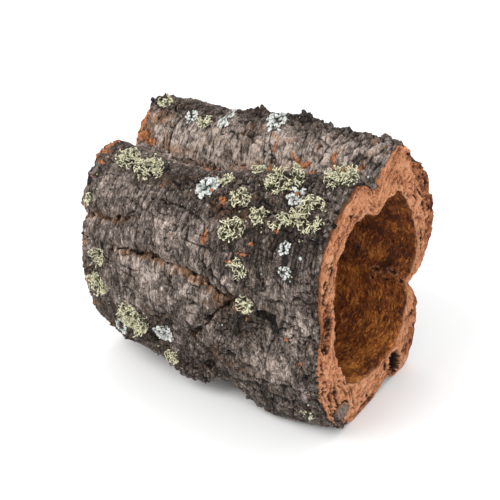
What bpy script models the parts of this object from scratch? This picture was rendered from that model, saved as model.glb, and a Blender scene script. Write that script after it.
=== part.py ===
"""Cork bark tube with lichens, for Blender 4.5. Metres, +Z up.

A short, hollow length of virgin cork bark lies on its side. Its hollow runs along X, the sawn end
that shows best faces +X, and the origin is on the ground under the middle of the whole.
Shrubby and leafy lichens grow on the bark, and each tuft or rosette is a body of its own.

A place on the bark is given as (x in mm along the tube, angle in degrees round it): 0 is the back
(+Y), 90 the top, 180 the front (-Y) and 270 the underside.
"""

import itertools
import math

import bmesh
import bpy
import numpy as np
from mathutils import Matrix, Vector

MM = 0.001
TAU = 2 * math.pi

# The tube. The core line runs along X, and all radii are measured from it.
LENGTH = 0.160
MIDDLE_X = 0.0
CORE_Y = 0.0
CORE_Z = 0.081
SEGMENTS = 96
OUTER_RINGS = 30
INNER_RINGS = 7

# Outline radii in mm, one for each 15 degrees: the first row of each runs from the back over the top
# to the front, the second from the front under the tube to the back.
NEAR_OUTLINE = (
    62, 69, 69, 71, 72, 79, 82, 83, 84, 78, 70, 63,
    61, 63, 67, 72, 77, 85, 84, 83, 92, 77, 61, 57,
)
MIDDLE_OUTLINE = (
    64, 69, 71, 72, 73, 77, 77, 74, 71, 68, 66, 63,
    62, 65, 70, 76, 82, 88, 85, 85, 91, 79, 66, 61,
)
FAR_OUTLINE = (
    62, 66, 66, 67, 68, 69, 68, 66, 65, 64, 62, 60,
    60, 63, 67, 72, 78, 85, 83, 84, 89, 78, 67, 60,
)
NEAR_HOLLOW = (
    46, 46, 47, 48, 51, 55, 55, 57, 60, 59, 54, 47,
    43, 46, 47, 49, 53, 57, 60, 62, 64, 55, 46, 45,
)
FAR_HOLLOW = (
    45, 45, 45, 46, 48, 49, 48, 47, 48, 48, 46, 44,
    43, 45, 47, 49, 52, 55, 57, 59, 60, 53, 46, 44,
)

# Valleys that run the length of the tube. Each has its angles in degrees, its depths and its half
# widths in mm, at even steps from the near end to the far end.
FURROWS = {
    "top": ((97, 99, 101, 102, 102, 101), (17, 14, 20, 25, 24, 20), (10.5, 11, 14, 19, 20, 15)),
    "back_notch": ((335, 341, 338), (13, 10, 8), (6, 6, 6)),
    "back_upper": ((40, 36, 42), (1, 6, 5), (7, 7, 7)),
    "under": ((283, 288, 280), (5, 7, 6), (9, 9, 9)),
}
# Ribs inside the hollow, behind the furrows: angles, heights and half widths in mm.
INNER_RIBS = {
    "top": ((97, 99, 101, 101), (7, 6, 12, 9), (9, 9, 12, 10)),
    "back_notch": ((337, 341, 338), (5, 4, 3), (5, 5, 5)),
}

# Lumps and hollows of the outside: the place (x in mm, angle in degrees), the half length along the
# tube, the half width round it and the height, all in mm.
LUMPS = {
    "ridge_near": ((55, 70), 26, 14, 2.0),
    "ridge_crust": ((17, 70), 9, 11, 3.5),
    "ridge_dip": ((-33, 66), 11, 14, -4.0),
    "front_foot": ((50, 240), 32, 16, 7.5),
    "foot_crumbs": ((-8, 234), 19, 12, 9.0),
    "far_foot": ((-55, 228), 22, 16, 3.0),
    "front_valley": ((8, 232), 9, 26, -3.0),
    "front_belly": ((30, 150), 30, 18, 2.0),
    "plate_swell": ((-28, 186), 30, 14, 3.0),
    "torn_pit": ((48, 179), 6, 6, -4.5),
}

# Cracks between bark plates: the points of each, then its half width, its depth, and the height
# by which the plate above it stands over the plate below, all in mm.
CRACKS = {
    "left_plate": (((-84, 160), (-58, 155), (-44, 151)), 3.6, 2.4, 1.0),
    "middle_plate": (
        ((-52, 169), (-38, 167), (-26, 165), (-8, 165), (10, 166), (22, 171), (32, 176)), 4.0, 3.0, 1.6
    ),
    "lower_plate": (((-2, 206), (10, 193), (17, 183), (26, 175)), 3.6, 2.2, 1.2),
}
UNROLLED_RADIUS = 68.0

# Swellings of the bark as (size, height) in mm. They fade towards the near end, whose outline
# already holds its own bumps.
SWELLINGS = ((42.0, 2.6), (19.0, 1.7), (11.0, 0.9))
NEAR_FADE = 0.12
NEAR_SHARE = 0.35

# Swellings of the hollow's side, as (size, height) in mm.
INNER_SWELLINGS = ((26.0, 1.2), (12.0, 0.5))
INNER_SEED = 11
END_SEED = 21

# The sawn ends: how far they wander from flat and the size of their waves, how far the middle of the
# wall stands out, how far the far end's front side falls short, and how sharply it all fades inwards.
END_WAVE = 1.2
END_WAVE_SIZE = 30.0
END_SWELL = 0.6
FAR_FRONT_SHORT = 1.5
END_FADE = 8

# Shrubby lichens, as (x in mm, angle in degrees, spread in mm from the middle to the tips).
SHRUBBY = (
    (-60, 125, 8), (-45, 126, 9), (-39, 84, 4.5), (-71, 80, 5), (22, 128, 6), (24, 141, 7.5),
    (32, 156, 6), (41, 116, 11), (37, 133, 6.5), (52, 133, 6.5), (65, 127, 10.5), (70, 110, 9.5),
    (-66, 181, 6), (-66, 196, 7.5), (-40, 206, 11.5), (-20, 226, 5), (37, 172, 5.5), (-72, 150, 4.5),
    (69, 229, 4.5), (8, 122, 4.5), (20, 112, 4.5), (-20, 40, 8), (36, 22, 7), (-58, 12, 6), (58, 54, 5),
)
# Leafy lichens, as (x in mm, angle in degrees, radius in mm).
LEAFY = (
    (-49, 83, 4.5), (-24, 84, 6), (8, 83, 6.5), (-1, 127, 8), (52, 121, 5.5), (57, 141, 4),
    (-22, 212, 7.5), (-56, 220, 5), (60, 150, 4), (-4, 24, 8), (60, 34, 7), (-38, 52, 6),
)
STEM_RADII = (1.0, 0.72, 0.42)
TUFT_SEED = 100
SMALL_TUFT = 5.5
LARGE_TUFT = 8.5
ROOT_SHARE = 0.42
ROOT_HEIGHT = 2.4
# Each lichen keeps this much clear of the bark under it, and its root is sunk this deep before that
# cut.
CLEARANCE = 0.3
ROOT_DEPTH = 1.2
LEAF_SPOKES = 15
LEAF_THICKNESS = 1.5
# The rings of a leafy lichen from the top down, each a share of its radius and a height in mm.
LEAF_LEVELS = (
    (0.35, LEAF_THICKNESS * 0.75), (0.8, LEAF_THICKNESS), (1.0, 0.85), (1.0, -ROOT_DEPTH), (0.5, -ROOT_DEPTH),
)
WELD = 0.002


def smooth_curve(values, place):
    """Catmull-Rom curve at a place counted in steps of the values, which run along the last axis."""
    values = np.asarray(values, float)
    first = np.floor(place).astype(int)
    t = place - first
    a, b, c, d = (values[np.clip(first + k, 0, len(values) - 1)] for k in (-1, 0, 1, 2))
    return b + 0.5 * t * (c - a + t * (2 * a - 5 * b + 4 * c - d + t * (3 * (b - c) + d - a)))


def along(values, t):
    """A smooth curve through values that stand at even steps from the near end to the far end."""
    return smooth_curve(values, np.clip(t, 0.0, 1.0) * (len(values) - 1))


def parabola(near, middle, far, t):
    """The parabola through the values at the near end (t = 0), the middle and the far end (t = 1)."""
    return near * (1 - t) * (1 - 2 * t) + 4 * middle * t * (1 - t) + far * t * (2 * t - 1)


def around(values, angle):
    """A smooth closed curve through values that stand at even steps of a full turn."""
    place = np.mod(angle, 360.0) / 360.0 * len(values)
    return smooth_curve(values[-2:] + values + values[:2], place + 2)


def hashed(lattice, seed):
    """A repeatable random number from 0 to 1 for each point of a lattice of whole numbers."""
    n = lattice @ np.array([374761393, 668265263, 1103515245]) + seed * 1274126177
    n = (n ^ (n >> 13)) * 1274126177 & 0x7FFFFFFF
    return ((n ^ (n >> 16)) & 0xFFFF) / 0xFFFF


def noise(points, size, seed):
    """Smooth value noise from -1 to 1, whose bumps have about the given size."""
    place = np.asarray(points, float) / size
    corner = np.floor(place).astype(np.int64)
    f = place - corner
    f = f * f * (3 - 2 * f)
    total = 0.0
    for step in itertools.product((0, 1), repeat=3):
        weight = np.prod(np.where(step, f, 1 - f), axis=-1)
        total = total + weight * hashed(corner + np.array(step), seed)
    return 2 * total - 1


def polar(x, angle, radius):
    """Points at x, angle and radius, the lengths in mm, measured from the core line."""
    turn = np.radians(angle)
    return np.stack([x + 0 * turn, radius * np.cos(turn), radius * np.sin(turn)], axis=-1)


def turned(angle, centre):
    """The signed turn from centre to angle, within half a turn either way."""
    return np.mod(angle - centre + 180.0, 360.0) - 180.0


def valley(t, angle, radius, angles, depths, half_widths):
    """Depth in mm of a rounded valley, or height of a rib, at each place."""
    across = np.radians(turned(angle, along(angles, t))) * radius
    return along(depths, t) * np.exp(-((np.abs(across) / along(half_widths, t)) ** 1.6))


def lump(x, angle, radius, place, half_length, half_width, height):
    """Height in mm of a rounded lump at each place."""
    across = np.radians(turned(angle, place[1])) * radius
    return height * np.exp(-(((x - place[0]) / half_length) ** 2) - (across / half_width) ** 2)


def crack(x, angle, points, half_width, depth, step):
    """Change of radius in mm near a crack: a cleft, with the bark above it raised by a step."""
    across, nearest = 1e9, 1e9
    here = np.stack([x, np.radians(angle) * UNROLLED_RADIUS], axis=-1)
    path = [np.array([px, math.radians(pa) * UNROLLED_RADIUS]) for px, pa in points]
    for start, end in zip(path, path[1:]):
        run = end - start
        along = np.clip((here - start) @ run / (run @ run), 0.0, 1.0)
        away = here - start - along[..., None] * run
        distance = np.hypot(away[..., 0], away[..., 1])
        side = np.sign(run[0] * away[..., 1] - run[1] * away[..., 0])
        across = np.where(distance < nearest, side * distance, across)
        nearest = np.minimum(distance, nearest)
    cleft = -depth * np.exp(-((nearest / half_width) ** 2))
    raised = step * (across < 0) * np.exp(-nearest / (4 * half_width))
    return cleft + raised


def outer_radius(x, angle):
    """Radius in mm of the bark's outside at x (mm) and angle (degrees)."""
    t = 0.5 - x * MM / LENGTH
    near, middle, far = (around(outline, angle) for outline in (NEAR_OUTLINE, MIDDLE_OUTLINE, FAR_OUTLINE))
    radius = parabola(near, middle, far, t)
    base = polar(x, angle, radius)
    fade = NEAR_SHARE + (1 - NEAR_SHARE) * np.clip(t / NEAR_FADE, 0.0, 1.0)
    for furrow in FURROWS.values():
        radius = radius - valley(t, angle, radius, *furrow)
    for one in LUMPS.values():
        radius = radius + lump(x, angle, radius, *one)
    for seed, (size, height) in enumerate(SWELLINGS):
        radius = radius + fade * height * noise(base, size, seed)
    for line in CRACKS.values():
        radius = radius + crack(x, np.mod(angle, 360.0), *line)
    return radius


def inner_radius(x, angle):
    """Radius in mm of the hollow at x (mm) and angle (degrees)."""
    t = 0.5 - x * MM / LENGTH
    radius = around(NEAR_HOLLOW, angle) * (1 - t) + around(FAR_HOLLOW, angle) * t
    base = polar(x, angle, radius)
    for rib in INNER_RIBS.values():
        radius = radius - valley(t, angle, radius, *rib)
    for seed, (size, height) in enumerate(INNER_SWELLINGS, INNER_SEED):
        radius = radius + height * noise(base, size, seed)
    return radius


def end_shift(angle, radius, side):
    """How far a sawn end stands out from flat, in mm, at each place on it."""
    front = np.maximum(0.0, -np.cos(np.radians(angle))) * (side < 0)
    wave = noise(polar(side * LENGTH / MM, angle, radius), END_WAVE_SIZE, END_SEED)
    return END_WAVE * wave - FAR_FRONT_SHORT * front


def in_place(x, angle, radius):
    """World points in metres, with the bark's lowest side worn flat on the ground."""
    points = polar(x, angle, radius) * MM + np.array([MIDDLE_X, CORE_Y, CORE_Z])
    points[..., 2] = np.maximum(points[..., 2], 0.0)
    return points


def wall_rings():
    """The rings of the tube's wall in order: outside, far end, hollow, near end."""
    angle = np.arange(SEGMENTS) * 360.0 / SEGMENTS
    half = LENGTH / MM / 2
    rings = []
    for surface, count, start in ((outer_radius, OUTER_RINGS, 1), (inner_radius, INNER_RINGS, -1)):
        for share in np.linspace(start, -start, count):
            x = np.full(SEGMENTS, half * share)
            radius = surface(x, angle)
            shift = np.sign(share) * abs(share) ** END_FADE * end_shift(angle, radius, np.sign(share))
            rings.append(in_place(x + shift, angle, radius))
        end = np.full(SEGMENTS, -half * start)
        middle = (outer_radius(end, angle) + inner_radius(end, angle)) / 2
        swell = END_SWELL + end_shift(angle, middle, -start)
        rings.append(in_place(end - start * swell, angle, middle))
    return rings


def add_material(name, colour, roughness):
    """A Principled material of one colour."""
    material = bpy.data.materials.new(name)
    material.use_nodes = True
    shader = material.node_tree.nodes["Principled BSDF"]
    shader.inputs["Base Color"].default_value = (*colour, 1.0)
    shader.inputs["Roughness"].default_value = roughness
    return material


def add_object(name, mesh, collection, material=None):
    """An object in the collection, from a mesh datablock or a bmesh."""
    if isinstance(mesh, bmesh.types.BMesh):
        bmesh.ops.recalc_face_normals(mesh, faces=mesh.faces)
        data = bpy.data.meshes.new(name)
        mesh.to_mesh(data)
        mesh.free()
        mesh = data
    made = bpy.data.objects.new(name, mesh)
    collection.objects.link(made)
    if material:
        made.data.materials.append(material)
    return made


def add_bark(collection, material):
    """The tube: a loft through its wall's rings, closed on itself."""
    bark = bmesh.new()
    loops = [[bark.verts.new(point) for point in ring] for ring in wall_rings()]
    for ring, following in zip(loops, loops[1:] + loops[:1]):
        for k in range(SEGMENTS):
            k_next = (k + 1) % SEGMENTS
            bark.faces.new((ring[k], ring[k_next], following[k_next], following[k]))
    made = add_object("bark", bark, collection, material)
    made.data.shade_smooth()
    made.data.set_sharp_from_angle(angle=math.radians(50))
    return made


def add_clearance(bark, collection):
    """A copy of the bark, grown by the clearance, that trims the lichens' roots."""
    grown = bmesh.new()
    grown.from_mesh(bark.data)
    grown.normal_update()
    for vertex in grown.verts:
        vertex.co += vertex.normal * (CLEARANCE * MM * 1.1)
    made = add_object("bark_clearance", grown, collection)
    made.hide_render = True
    made.display_type = "WIRE"
    return made


def growing_frame(x, angle):
    """The point of the bark at a place, with its outward normal and two directions along the surface."""
    step = np.array([0.0, 3.0, -3.0, 0.0, 0.0])
    turn = np.array([0.0, 0.0, 0.0, 3.0, -3.0])
    points = in_place(x + step, angle + turn, outer_radius(x + step, angle + turn))
    forward = Vector(points[1] - points[2]).normalized()
    normal = forward.cross(Vector(points[3] - points[4])).normalized()
    outward = Vector((0, math.cos(math.radians(angle)), math.sin(math.radians(angle))))
    if normal.dot(outward) < 0:
        normal.negate()
    return Vector(points[0]), normal, forward, normal.cross(forward)


def add_branch(points, radii, collection):
    """A four-sided branch that tapers along its points."""
    curve = bpy.data.curves.new("branch", "CURVE")
    curve.dimensions = "3D"
    curve.bevel_depth = MM
    curve.bevel_resolution = 0
    curve.use_fill_caps = True
    spline = curve.splines.new("POLY")
    spline.points.add(len(points) - 1)
    for knot, point, radius in zip(spline.points, points, radii):
        knot.co = (*point, 1.0)
        knot.radius = radius
    made = add_object("branch", curve, collection)
    bpy.context.view_layer.update()
    shape = made.evaluated_get(bpy.context.evaluated_depsgraph_get())
    solid = bmesh.new()
    solid.from_mesh(bpy.data.meshes.new_from_object(shape))
    bmesh.ops.remove_doubles(solid, verts=solid.verts, dist=WELD * MM)
    bpy.data.objects.remove(made)
    return add_object("branch", solid, collection)


def add_root(frame, spread, collection):
    """The low dome that a tuft's branches stand out of."""
    point, normal, forward, across = frame
    dome = bmesh.new()
    bmesh.ops.create_icosphere(dome, subdivisions=1, radius=1.0)
    size = Matrix.Diagonal((ROOT_SHARE * spread * MM, ROOT_SHARE * spread * MM, ROOT_HEIGHT * MM, 1.0))
    turn = Matrix((forward, across, normal)).transposed().to_4x4()
    bmesh.ops.transform(dome, matrix=Matrix.Translation(point) @ turn @ size, verts=dome.verts)
    return add_object("root", dome, collection)


def add_tuft_pieces(place, collection, seed):
    """A tuft's root, its branches in a whorl, and a fork on every third branch of a larger tuft."""
    x, angle, spread = place
    frame = growing_frame(x, angle)
    point, normal, forward, across = frame
    draw = np.random.default_rng(seed)

    def reached(heading, out, up):
        sideways = forward * math.cos(heading) + across * math.sin(heading)
        return point + (sideways * out + normal * up) * spread * MM

    add_root(frame, spread, collection)
    branches = 5 if spread < SMALL_TUFT else 6 if spread < LARGE_TUFT else 8
    for k in range(branches):
        heading = TAU * (k + draw.uniform(-0.25, 0.25)) / branches
        steep = draw.uniform(0.3, 0.9)
        reach = draw.uniform(0.82, 1.0) * (1.1 - 0.3 * steep)
        foot = reached(heading, 0.26, 0.6 / spread)
        knee = reached(heading, 0.55, 0.25 + 0.2 * steep)
        tip = reached(heading + draw.uniform(-0.2, 0.2), reach, 0.28 + 0.35 * steep)
        add_branch((foot, knee, tip), STEM_RADII, collection)
        if spread >= SMALL_TUFT and k % 3 == 0:
            side = reached(heading + draw.choice((-0.6, 0.6)), 0.9 * reach, 0.3 + 0.5 * steep)
            add_branch((knee, side), STEM_RADII[1:], collection)


def leaf_ring(place, share, lift):
    """Points of a leafy lichen's outline, shrunk to a share and lifted in mm from the bark."""
    x, angle, radius = place
    turn = np.arange(LEAF_SPOKES) * TAU / LEAF_SPOKES
    lobed = 0.84 + 0.14 * np.cos(5 * turn + x) + 0.07 * np.sin(3 * turn + angle)
    reach = radius * share * (1 + share * (lobed - 1))
    there = angle + np.degrees(reach * np.sin(turn) / UNROLLED_RADIUS)
    along_x = x + reach * np.cos(turn)
    return in_place(along_x, there, outer_radius(along_x, there) + lift)


def add_rosette_blank(place, collection):
    """A lobed pad that follows the bark, from just under it to the leafy lichen's upper face."""
    pad = bmesh.new()
    loops = [[pad.verts.new(point) for point in leaf_ring(place, *level)] for level in LEAF_LEVELS]
    for ring, following in zip(loops, loops[1:]):
        for k in range(LEAF_SPOKES):
            k_next = (k + 1) % LEAF_SPOKES
            pad.faces.new((ring[k], ring[k_next], following[k_next], following[k]))
    for ring in (loops[0], loops[-1]):
        middle = pad.verts.new(sum((vertex.co for vertex in ring), Vector()) / LEAF_SPOKES)
        for k in range(LEAF_SPOKES):
            pad.faces.new((middle, ring[k], ring[(k + 1) % LEAF_SPOKES]))
    return add_object("pad", pad, collection)


def apply_boolean(target, operation, operand):
    """Applies an exact Boolean of the target with an object or with all of a collection."""
    cut = target.modifiers.new(operation.lower(), "BOOLEAN")
    cut.operation = operation
    cut.solver = "EXACT"
    if isinstance(operand, bpy.types.Collection):
        cut.operand_type = "COLLECTION"
        cut.collection = operand
    else:
        cut.object = operand
    bpy.context.view_layer.update()
    shape = target.evaluated_get(bpy.context.evaluated_depsgraph_get())
    joined = bpy.data.meshes.new_from_object(shape)
    target.modifiers.clear()
    target.data = joined


def keep_largest(mesh):
    """Drops every scrap that isn't joined to the largest body, and closes up needle-thin leftovers."""
    shape = bmesh.new()
    shape.from_mesh(mesh)
    bmesh.ops.remove_doubles(shape, verts=shape.verts, dist=WELD * MM)
    bmesh.ops.triangulate(shape, faces=shape.faces)
    left, bodies = set(shape.verts), []
    while left:
        body, front = set(), [left.pop()]
        while front:
            vertex = front.pop()
            body.add(vertex)
            for edge in vertex.link_edges:
                other = edge.other_vert(vertex)
                if other in left:
                    left.remove(other)
                    front.append(other)
        bodies.append(body)
    bodies.sort(key=len)
    for body in bodies[:-1]:
        bmesh.ops.delete(shape, geom=list(body), context="VERTS")
    shape.to_mesh(mesh)
    shape.free()


def add_lichen(name, pieces, clearance, collection, material):
    """One lichen: its pieces joined, cut clear of the bark, and moved to the part's collection."""
    first, *others = pieces.objects
    body = bpy.data.objects.new(name, first.data)
    collection.objects.link(body)
    bpy.data.objects.remove(first)
    if others:
        apply_boolean(body, "UNION", pieces)
    apply_boolean(body, "DIFFERENCE", clearance)
    for spare in list(pieces.objects):
        bpy.data.objects.remove(spare)
    keep_largest(body.data)
    body.data.materials.clear()
    body.data.materials.append(material)
    return body


def clear_scene():
    """Removes what the file opened with."""
    for old in list(bpy.data.objects):
        bpy.data.objects.remove(old)


def add_collection(name):
    """A collection in the scene."""
    made = bpy.data.collections.new(name)
    bpy.context.scene.collection.children.link(made)
    return made


def main():
    clear_scene()
    tube = add_collection("cork_bark_tube")
    guides = add_collection("guides")
    pieces = add_collection("lichen_pieces")
    bark_brown = add_material("bark_brown", (0.105, 0.078, 0.060), 0.95)
    shrub_yellow = add_material("shrubby_yellow_green", (0.50, 0.50, 0.24), 0.85)
    leaf_grey = add_material("leafy_grey", (0.52, 0.57, 0.53), 0.8)
    bark = add_bark(tube, bark_brown)
    clearance = add_clearance(bark, guides)
    for number, place in enumerate(SHRUBBY, 1):
        add_tuft_pieces(place, pieces, TUFT_SEED + number)
        add_lichen(f"shrubby_lichen_{number:02d}", pieces, clearance, tube, shrub_yellow)
    for number, place in enumerate(LEAFY, 1):
        add_rosette_blank(place, pieces)
        add_lichen(f"leafy_lichen_{number:02d}", pieces, clearance, tube, leaf_grey)


if __name__ == "__main__":
    main()
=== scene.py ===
"""Cork bark tube with lichens: the bark's crust, the sawn cork, the hollow's lining and the lichens are
worked out here as fine surfaces and dressed with procedural materials.

Lengths are in mm until a mesh is made. A place on the bark is (x along the tube, angle in degrees
round it): 0 is the back (+Y), 90 the top, 180 the front (-Y) and 270 the underside.
"""

import functools
import itertools

import bpy
import numpy as np
from mathutils import Matrix, Vector


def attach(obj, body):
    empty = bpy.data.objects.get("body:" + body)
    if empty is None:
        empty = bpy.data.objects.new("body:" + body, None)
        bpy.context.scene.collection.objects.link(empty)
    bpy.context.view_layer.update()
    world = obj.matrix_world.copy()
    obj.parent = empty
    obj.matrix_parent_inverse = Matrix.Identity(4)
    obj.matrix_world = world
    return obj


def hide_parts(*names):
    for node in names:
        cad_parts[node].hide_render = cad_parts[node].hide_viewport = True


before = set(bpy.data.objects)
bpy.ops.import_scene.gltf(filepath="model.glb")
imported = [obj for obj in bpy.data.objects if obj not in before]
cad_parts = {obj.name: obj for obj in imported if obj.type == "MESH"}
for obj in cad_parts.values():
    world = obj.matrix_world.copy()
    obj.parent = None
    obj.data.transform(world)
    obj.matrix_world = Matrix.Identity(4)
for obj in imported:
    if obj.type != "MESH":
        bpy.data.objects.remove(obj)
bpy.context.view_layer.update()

bl_info = {
    "name": "Cork Bark Tube",
    "version": (1, 0, 0),
    "blender": (4, 5, 0),
    "location": "3D View > Sidebar > Cork Bark",
    "description": "Builds the crust, cork, hollow and lichens of a short tube of cork bark",
    "category": "Object",
}

MM = 0.001
BODY = "root"

# The tube, as its solid has it. The core line runs along X, and all radii are measured from it.
HALF = 80.0
CORE = np.array([0.0, 0.0, 81.0])

# Outline radii, one for each 15 degrees: the first row of each runs from the back over the top to the
# front, the second from the front under the tube to the back.
NEAR_OUTLINE = (
    62, 69, 69, 71, 72, 79, 82, 83, 84, 78, 70, 63,
    61, 63, 67, 72, 77, 85, 84, 83, 92, 77, 61, 57,
)
MIDDLE_OUTLINE = (
    64, 69, 71, 72, 73, 77, 77, 74, 71, 68, 66, 63,
    62, 65, 70, 76, 82, 88, 85, 85, 91, 79, 66, 61,
)
FAR_OUTLINE = (
    62, 66, 66, 67, 68, 69, 68, 66, 65, 64, 62, 60,
    60, 63, 67, 72, 78, 85, 83, 84, 89, 78, 67, 60,
)
NEAR_HOLLOW = (
    46, 46, 47, 48, 51, 55, 55, 57, 60, 59, 54, 47,
    43, 46, 47, 49, 53, 57, 60, 62, 64, 55, 46, 45,
)
FAR_HOLLOW = (
    45, 45, 45, 46, 48, 49, 48, 47, 48, 48, 46, 44,
    43, 45, 47, 49, 52, 55, 57, 59, 60, 53, 46, 44,
)

# Valleys along the outside and ribs in the hollow: angles, depths and half widths, at even steps from
# the near end to the far end.
FURROWS = (
    ((97, 99, 101, 102, 102, 101), (17, 14, 20, 25, 24, 20), (10.5, 11, 14, 19, 20, 15)),
    ((335, 341, 338), (13, 10, 8), (6, 6, 6)),
    ((40, 36, 42), (1, 6, 5), (7, 7, 7)),
    ((283, 288, 280), (5, 7, 6), (9, 9, 9)),
)
INNER_RIBS = (
    ((97, 99, 101, 101), (7, 6, 12, 9), (9, 9, 12, 10)),
    ((337, 341, 338), (5, 4, 3), (5, 5, 5)),
)

# Lumps and dents of the outside: place, half length along the tube, half width round it, height.
LUMPS = (
    ((55, 70), 26, 14, 2.0),
    ((17, 70), 9, 11, 3.5),
    ((-33, 66), 11, 14, -4.0),
    ((50, 240), 32, 16, 7.5),
    ((-8, 234), 19, 12, 9.0),
    ((-55, 228), 22, 16, 3.0),
    ((8, 232), 9, 26, -3.0),
    ((30, 150), 30, 18, 2.0),
    ((-28, 186), 30, 14, 3.0),
    ((48, 179), 6, 6, -4.5),
)

# Cracks between plates: points, half width, depth, and how far the plate above stands proud. The torn
# band below each has its own height and strength, one for each crack.
LEFT_CRACK = ((-84, 160), (-58, 155), (-44, 151))
MIDDLE_CRACK = ((-52, 169), (-38, 167), (-26, 165), (-8, 165), (10, 166), (22, 171), (32, 176))
LOWER_CRACK = ((-2, 206), (10, 193), (17, 183), (26, 175))
CRACKS = (
    (LEFT_CRACK, 3.6, 2.4, 1.0),
    (MIDDLE_CRACK, 4.0, 3.0, 1.6),
    (LOWER_CRACK, 3.6, 2.2, 1.2),
)
TORN_BANDS = ((3.4, 0.85), (5.2, 1.05), (4.4, 0.75))
# The radii at which the bark is unrolled, and at which noise is read round the hollow.
UNROLLED_RADIUS = 68.0
HOLLOW_RADIUS = 50.0
# Swellings as size and height. Those of the outside shrink to a share towards the near end.
SWELLINGS = ((42.0, 2.6), (19.0, 1.7), (11.0, 0.9))
NEAR_FADE = 0.12
NEAR_SHARE = 0.35
INNER_SWELLINGS = ((26.0, 1.2), (12.0, 0.5))
INNER_SEED = 11
# The sawn ends: the waves' seed, height and size, how far the wall's middle stands out, how far the far
# end's front falls short, and the power that makes it all fade inwards.
END_SEED = 21
END_WAVE = 1.2
END_WAVE_SIZE = 30.0
END_SWELL = 0.6
FAR_FRONT_SHORT = 1.5
END_FADE = 8

# Lichens, as (x, angle, spread), in the order of their nodes.
SHRUBBY = (
    (-60, 125, 8), (-45, 126, 9), (-39, 84, 4.5), (-71, 80, 5), (22, 128, 6), (24, 141, 7.5),
    (32, 156, 6), (41, 116, 11), (37, 133, 6.5), (52, 133, 6.5), (65, 127, 10.5), (70, 110, 9.5),
    (-66, 181, 6), (-66, 196, 7.5), (-40, 206, 11.5), (-20, 226, 5), (37, 172, 5.5), (-72, 150, 4.5),
    (69, 229, 4.5), (8, 122, 4.5), (20, 112, 4.5), (-20, 40, 8), (36, 22, 7), (-58, 12, 6),
    (58, 54, 5),
)
LEAFY = (
    (-49, 83, 4.5), (-24, 84, 6), (8, 83, 6.5), (-1, 127, 8), (52, 121, 5.5), (57, 141, 4),
    (-22, 212, 7.5), (-56, 220, 5), (60, 150, 4), (-4, 24, 8), (60, 34, 7), (-38, 52, 6),
)

# How finely the surfaces are sampled. A ring's points stand closer on the front, up to its density:
# fully within the second limit's turn from the front's angle, and not at all beyond the first one's.
SEGMENTS = 548
FRONT_ANGLE = 150.0
FRONT_LIMITS = (118, 98)
FRONT_DENSITY = 1.6
CRUST_RINGS = 146
HIDDEN_SHARES = (0.0, 0.03, 0.1, 0.35, 0.7, 0.9, 0.965, 0.985, 1.0)
LINING_RINGS = 112
NEAR_FACE_RINGS = 48
FAR_FACE_RINGS = 16
# The even grid of the outside: its rows along the tube, and the angle between its columns.
GRID_ROWS = 201
GRID_STEP = 0.75
# The cork wall's outer rings: distances from each sawn end, and the even ones between.
WALL_STEPS = (1.0, 2.2, 3.6, 5.4, 8.0)
WALL_MIDDLE = 12.0
WALL_MIDDLE_RINGS = 24
# Points along and across a lobe of a rosette, and the sides of a lichen's strand and of a fibre.
LEAF_POINTS = 6
STRAND_SIDES = 4
FIBRE_SIDES = 3

# The crust's thickness over the cork, in the middle of the tube and at its sawn ends, and the lining's.
CRUST = 5.0
CRUST_RIM = 0.35
LINING = 2.4
# How far the cork stays above the ground, how deep the crust's inner side lies in the cork, and how
# far before the sawn ends it stops.
CORK_FLOOR = 0.35
OVERLAP = 0.9
HIDDEN_END = 3.0
# How far from the sawn ends these stand: the cork's edge in the hollow, its hidden inner side, the
# lining's first ring and the lining's hidden side.
WALL_EDGE = 0.5
WALL_INNER = 1.6
LINING_EDGE = 0.35
LINING_OUTER = 1.2
HIDDEN_RINGS = 9
# Where the crust is thicker round the near sawn face: angle, half width in degrees, thickness.
THICK_RIM = (
    (104, 5, 2.6), (116, 8, 3.4), (129, 7, 2.2), (150, 9, 1.2), (162, 10, 2.2), (176, 8, 1.4),
    (232, 12, 0.8),
)
# Bites out of the outline at the sawn ends: place, half length along the tube, half width, depth.
NOTCHES = (
    ((81, 66), 4.5, 4.4, 5.0), ((81, 31), 3.5, 3.0, 1.8), ((81, 84), 3.0, 2.4, 1.6),
    ((81, 10), 3.0, 2.4, 1.4),
)

# The plates of the crust meet along a wavy ring: angle, x.
PLATE_EDGE = (
    (0, 4), (60, 2), (100, 0), (125, 6), (140, 7), (148, 10), (163, 9), (174, 12),
    (181, 11), (190, 7), (203, -1), (230, -6), (270, 2), (320, 6),
)
# The crumbly cap of the back ridge ends along this line.
CAP_EDGE = (
    (-84, 84), (-65, 82), (-44, 83), (-16, 87), (-2, 88), (9, 86), (22, 83), (30, 84), (45, 89), (62, 85),
    (84, 84),
)
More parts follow.
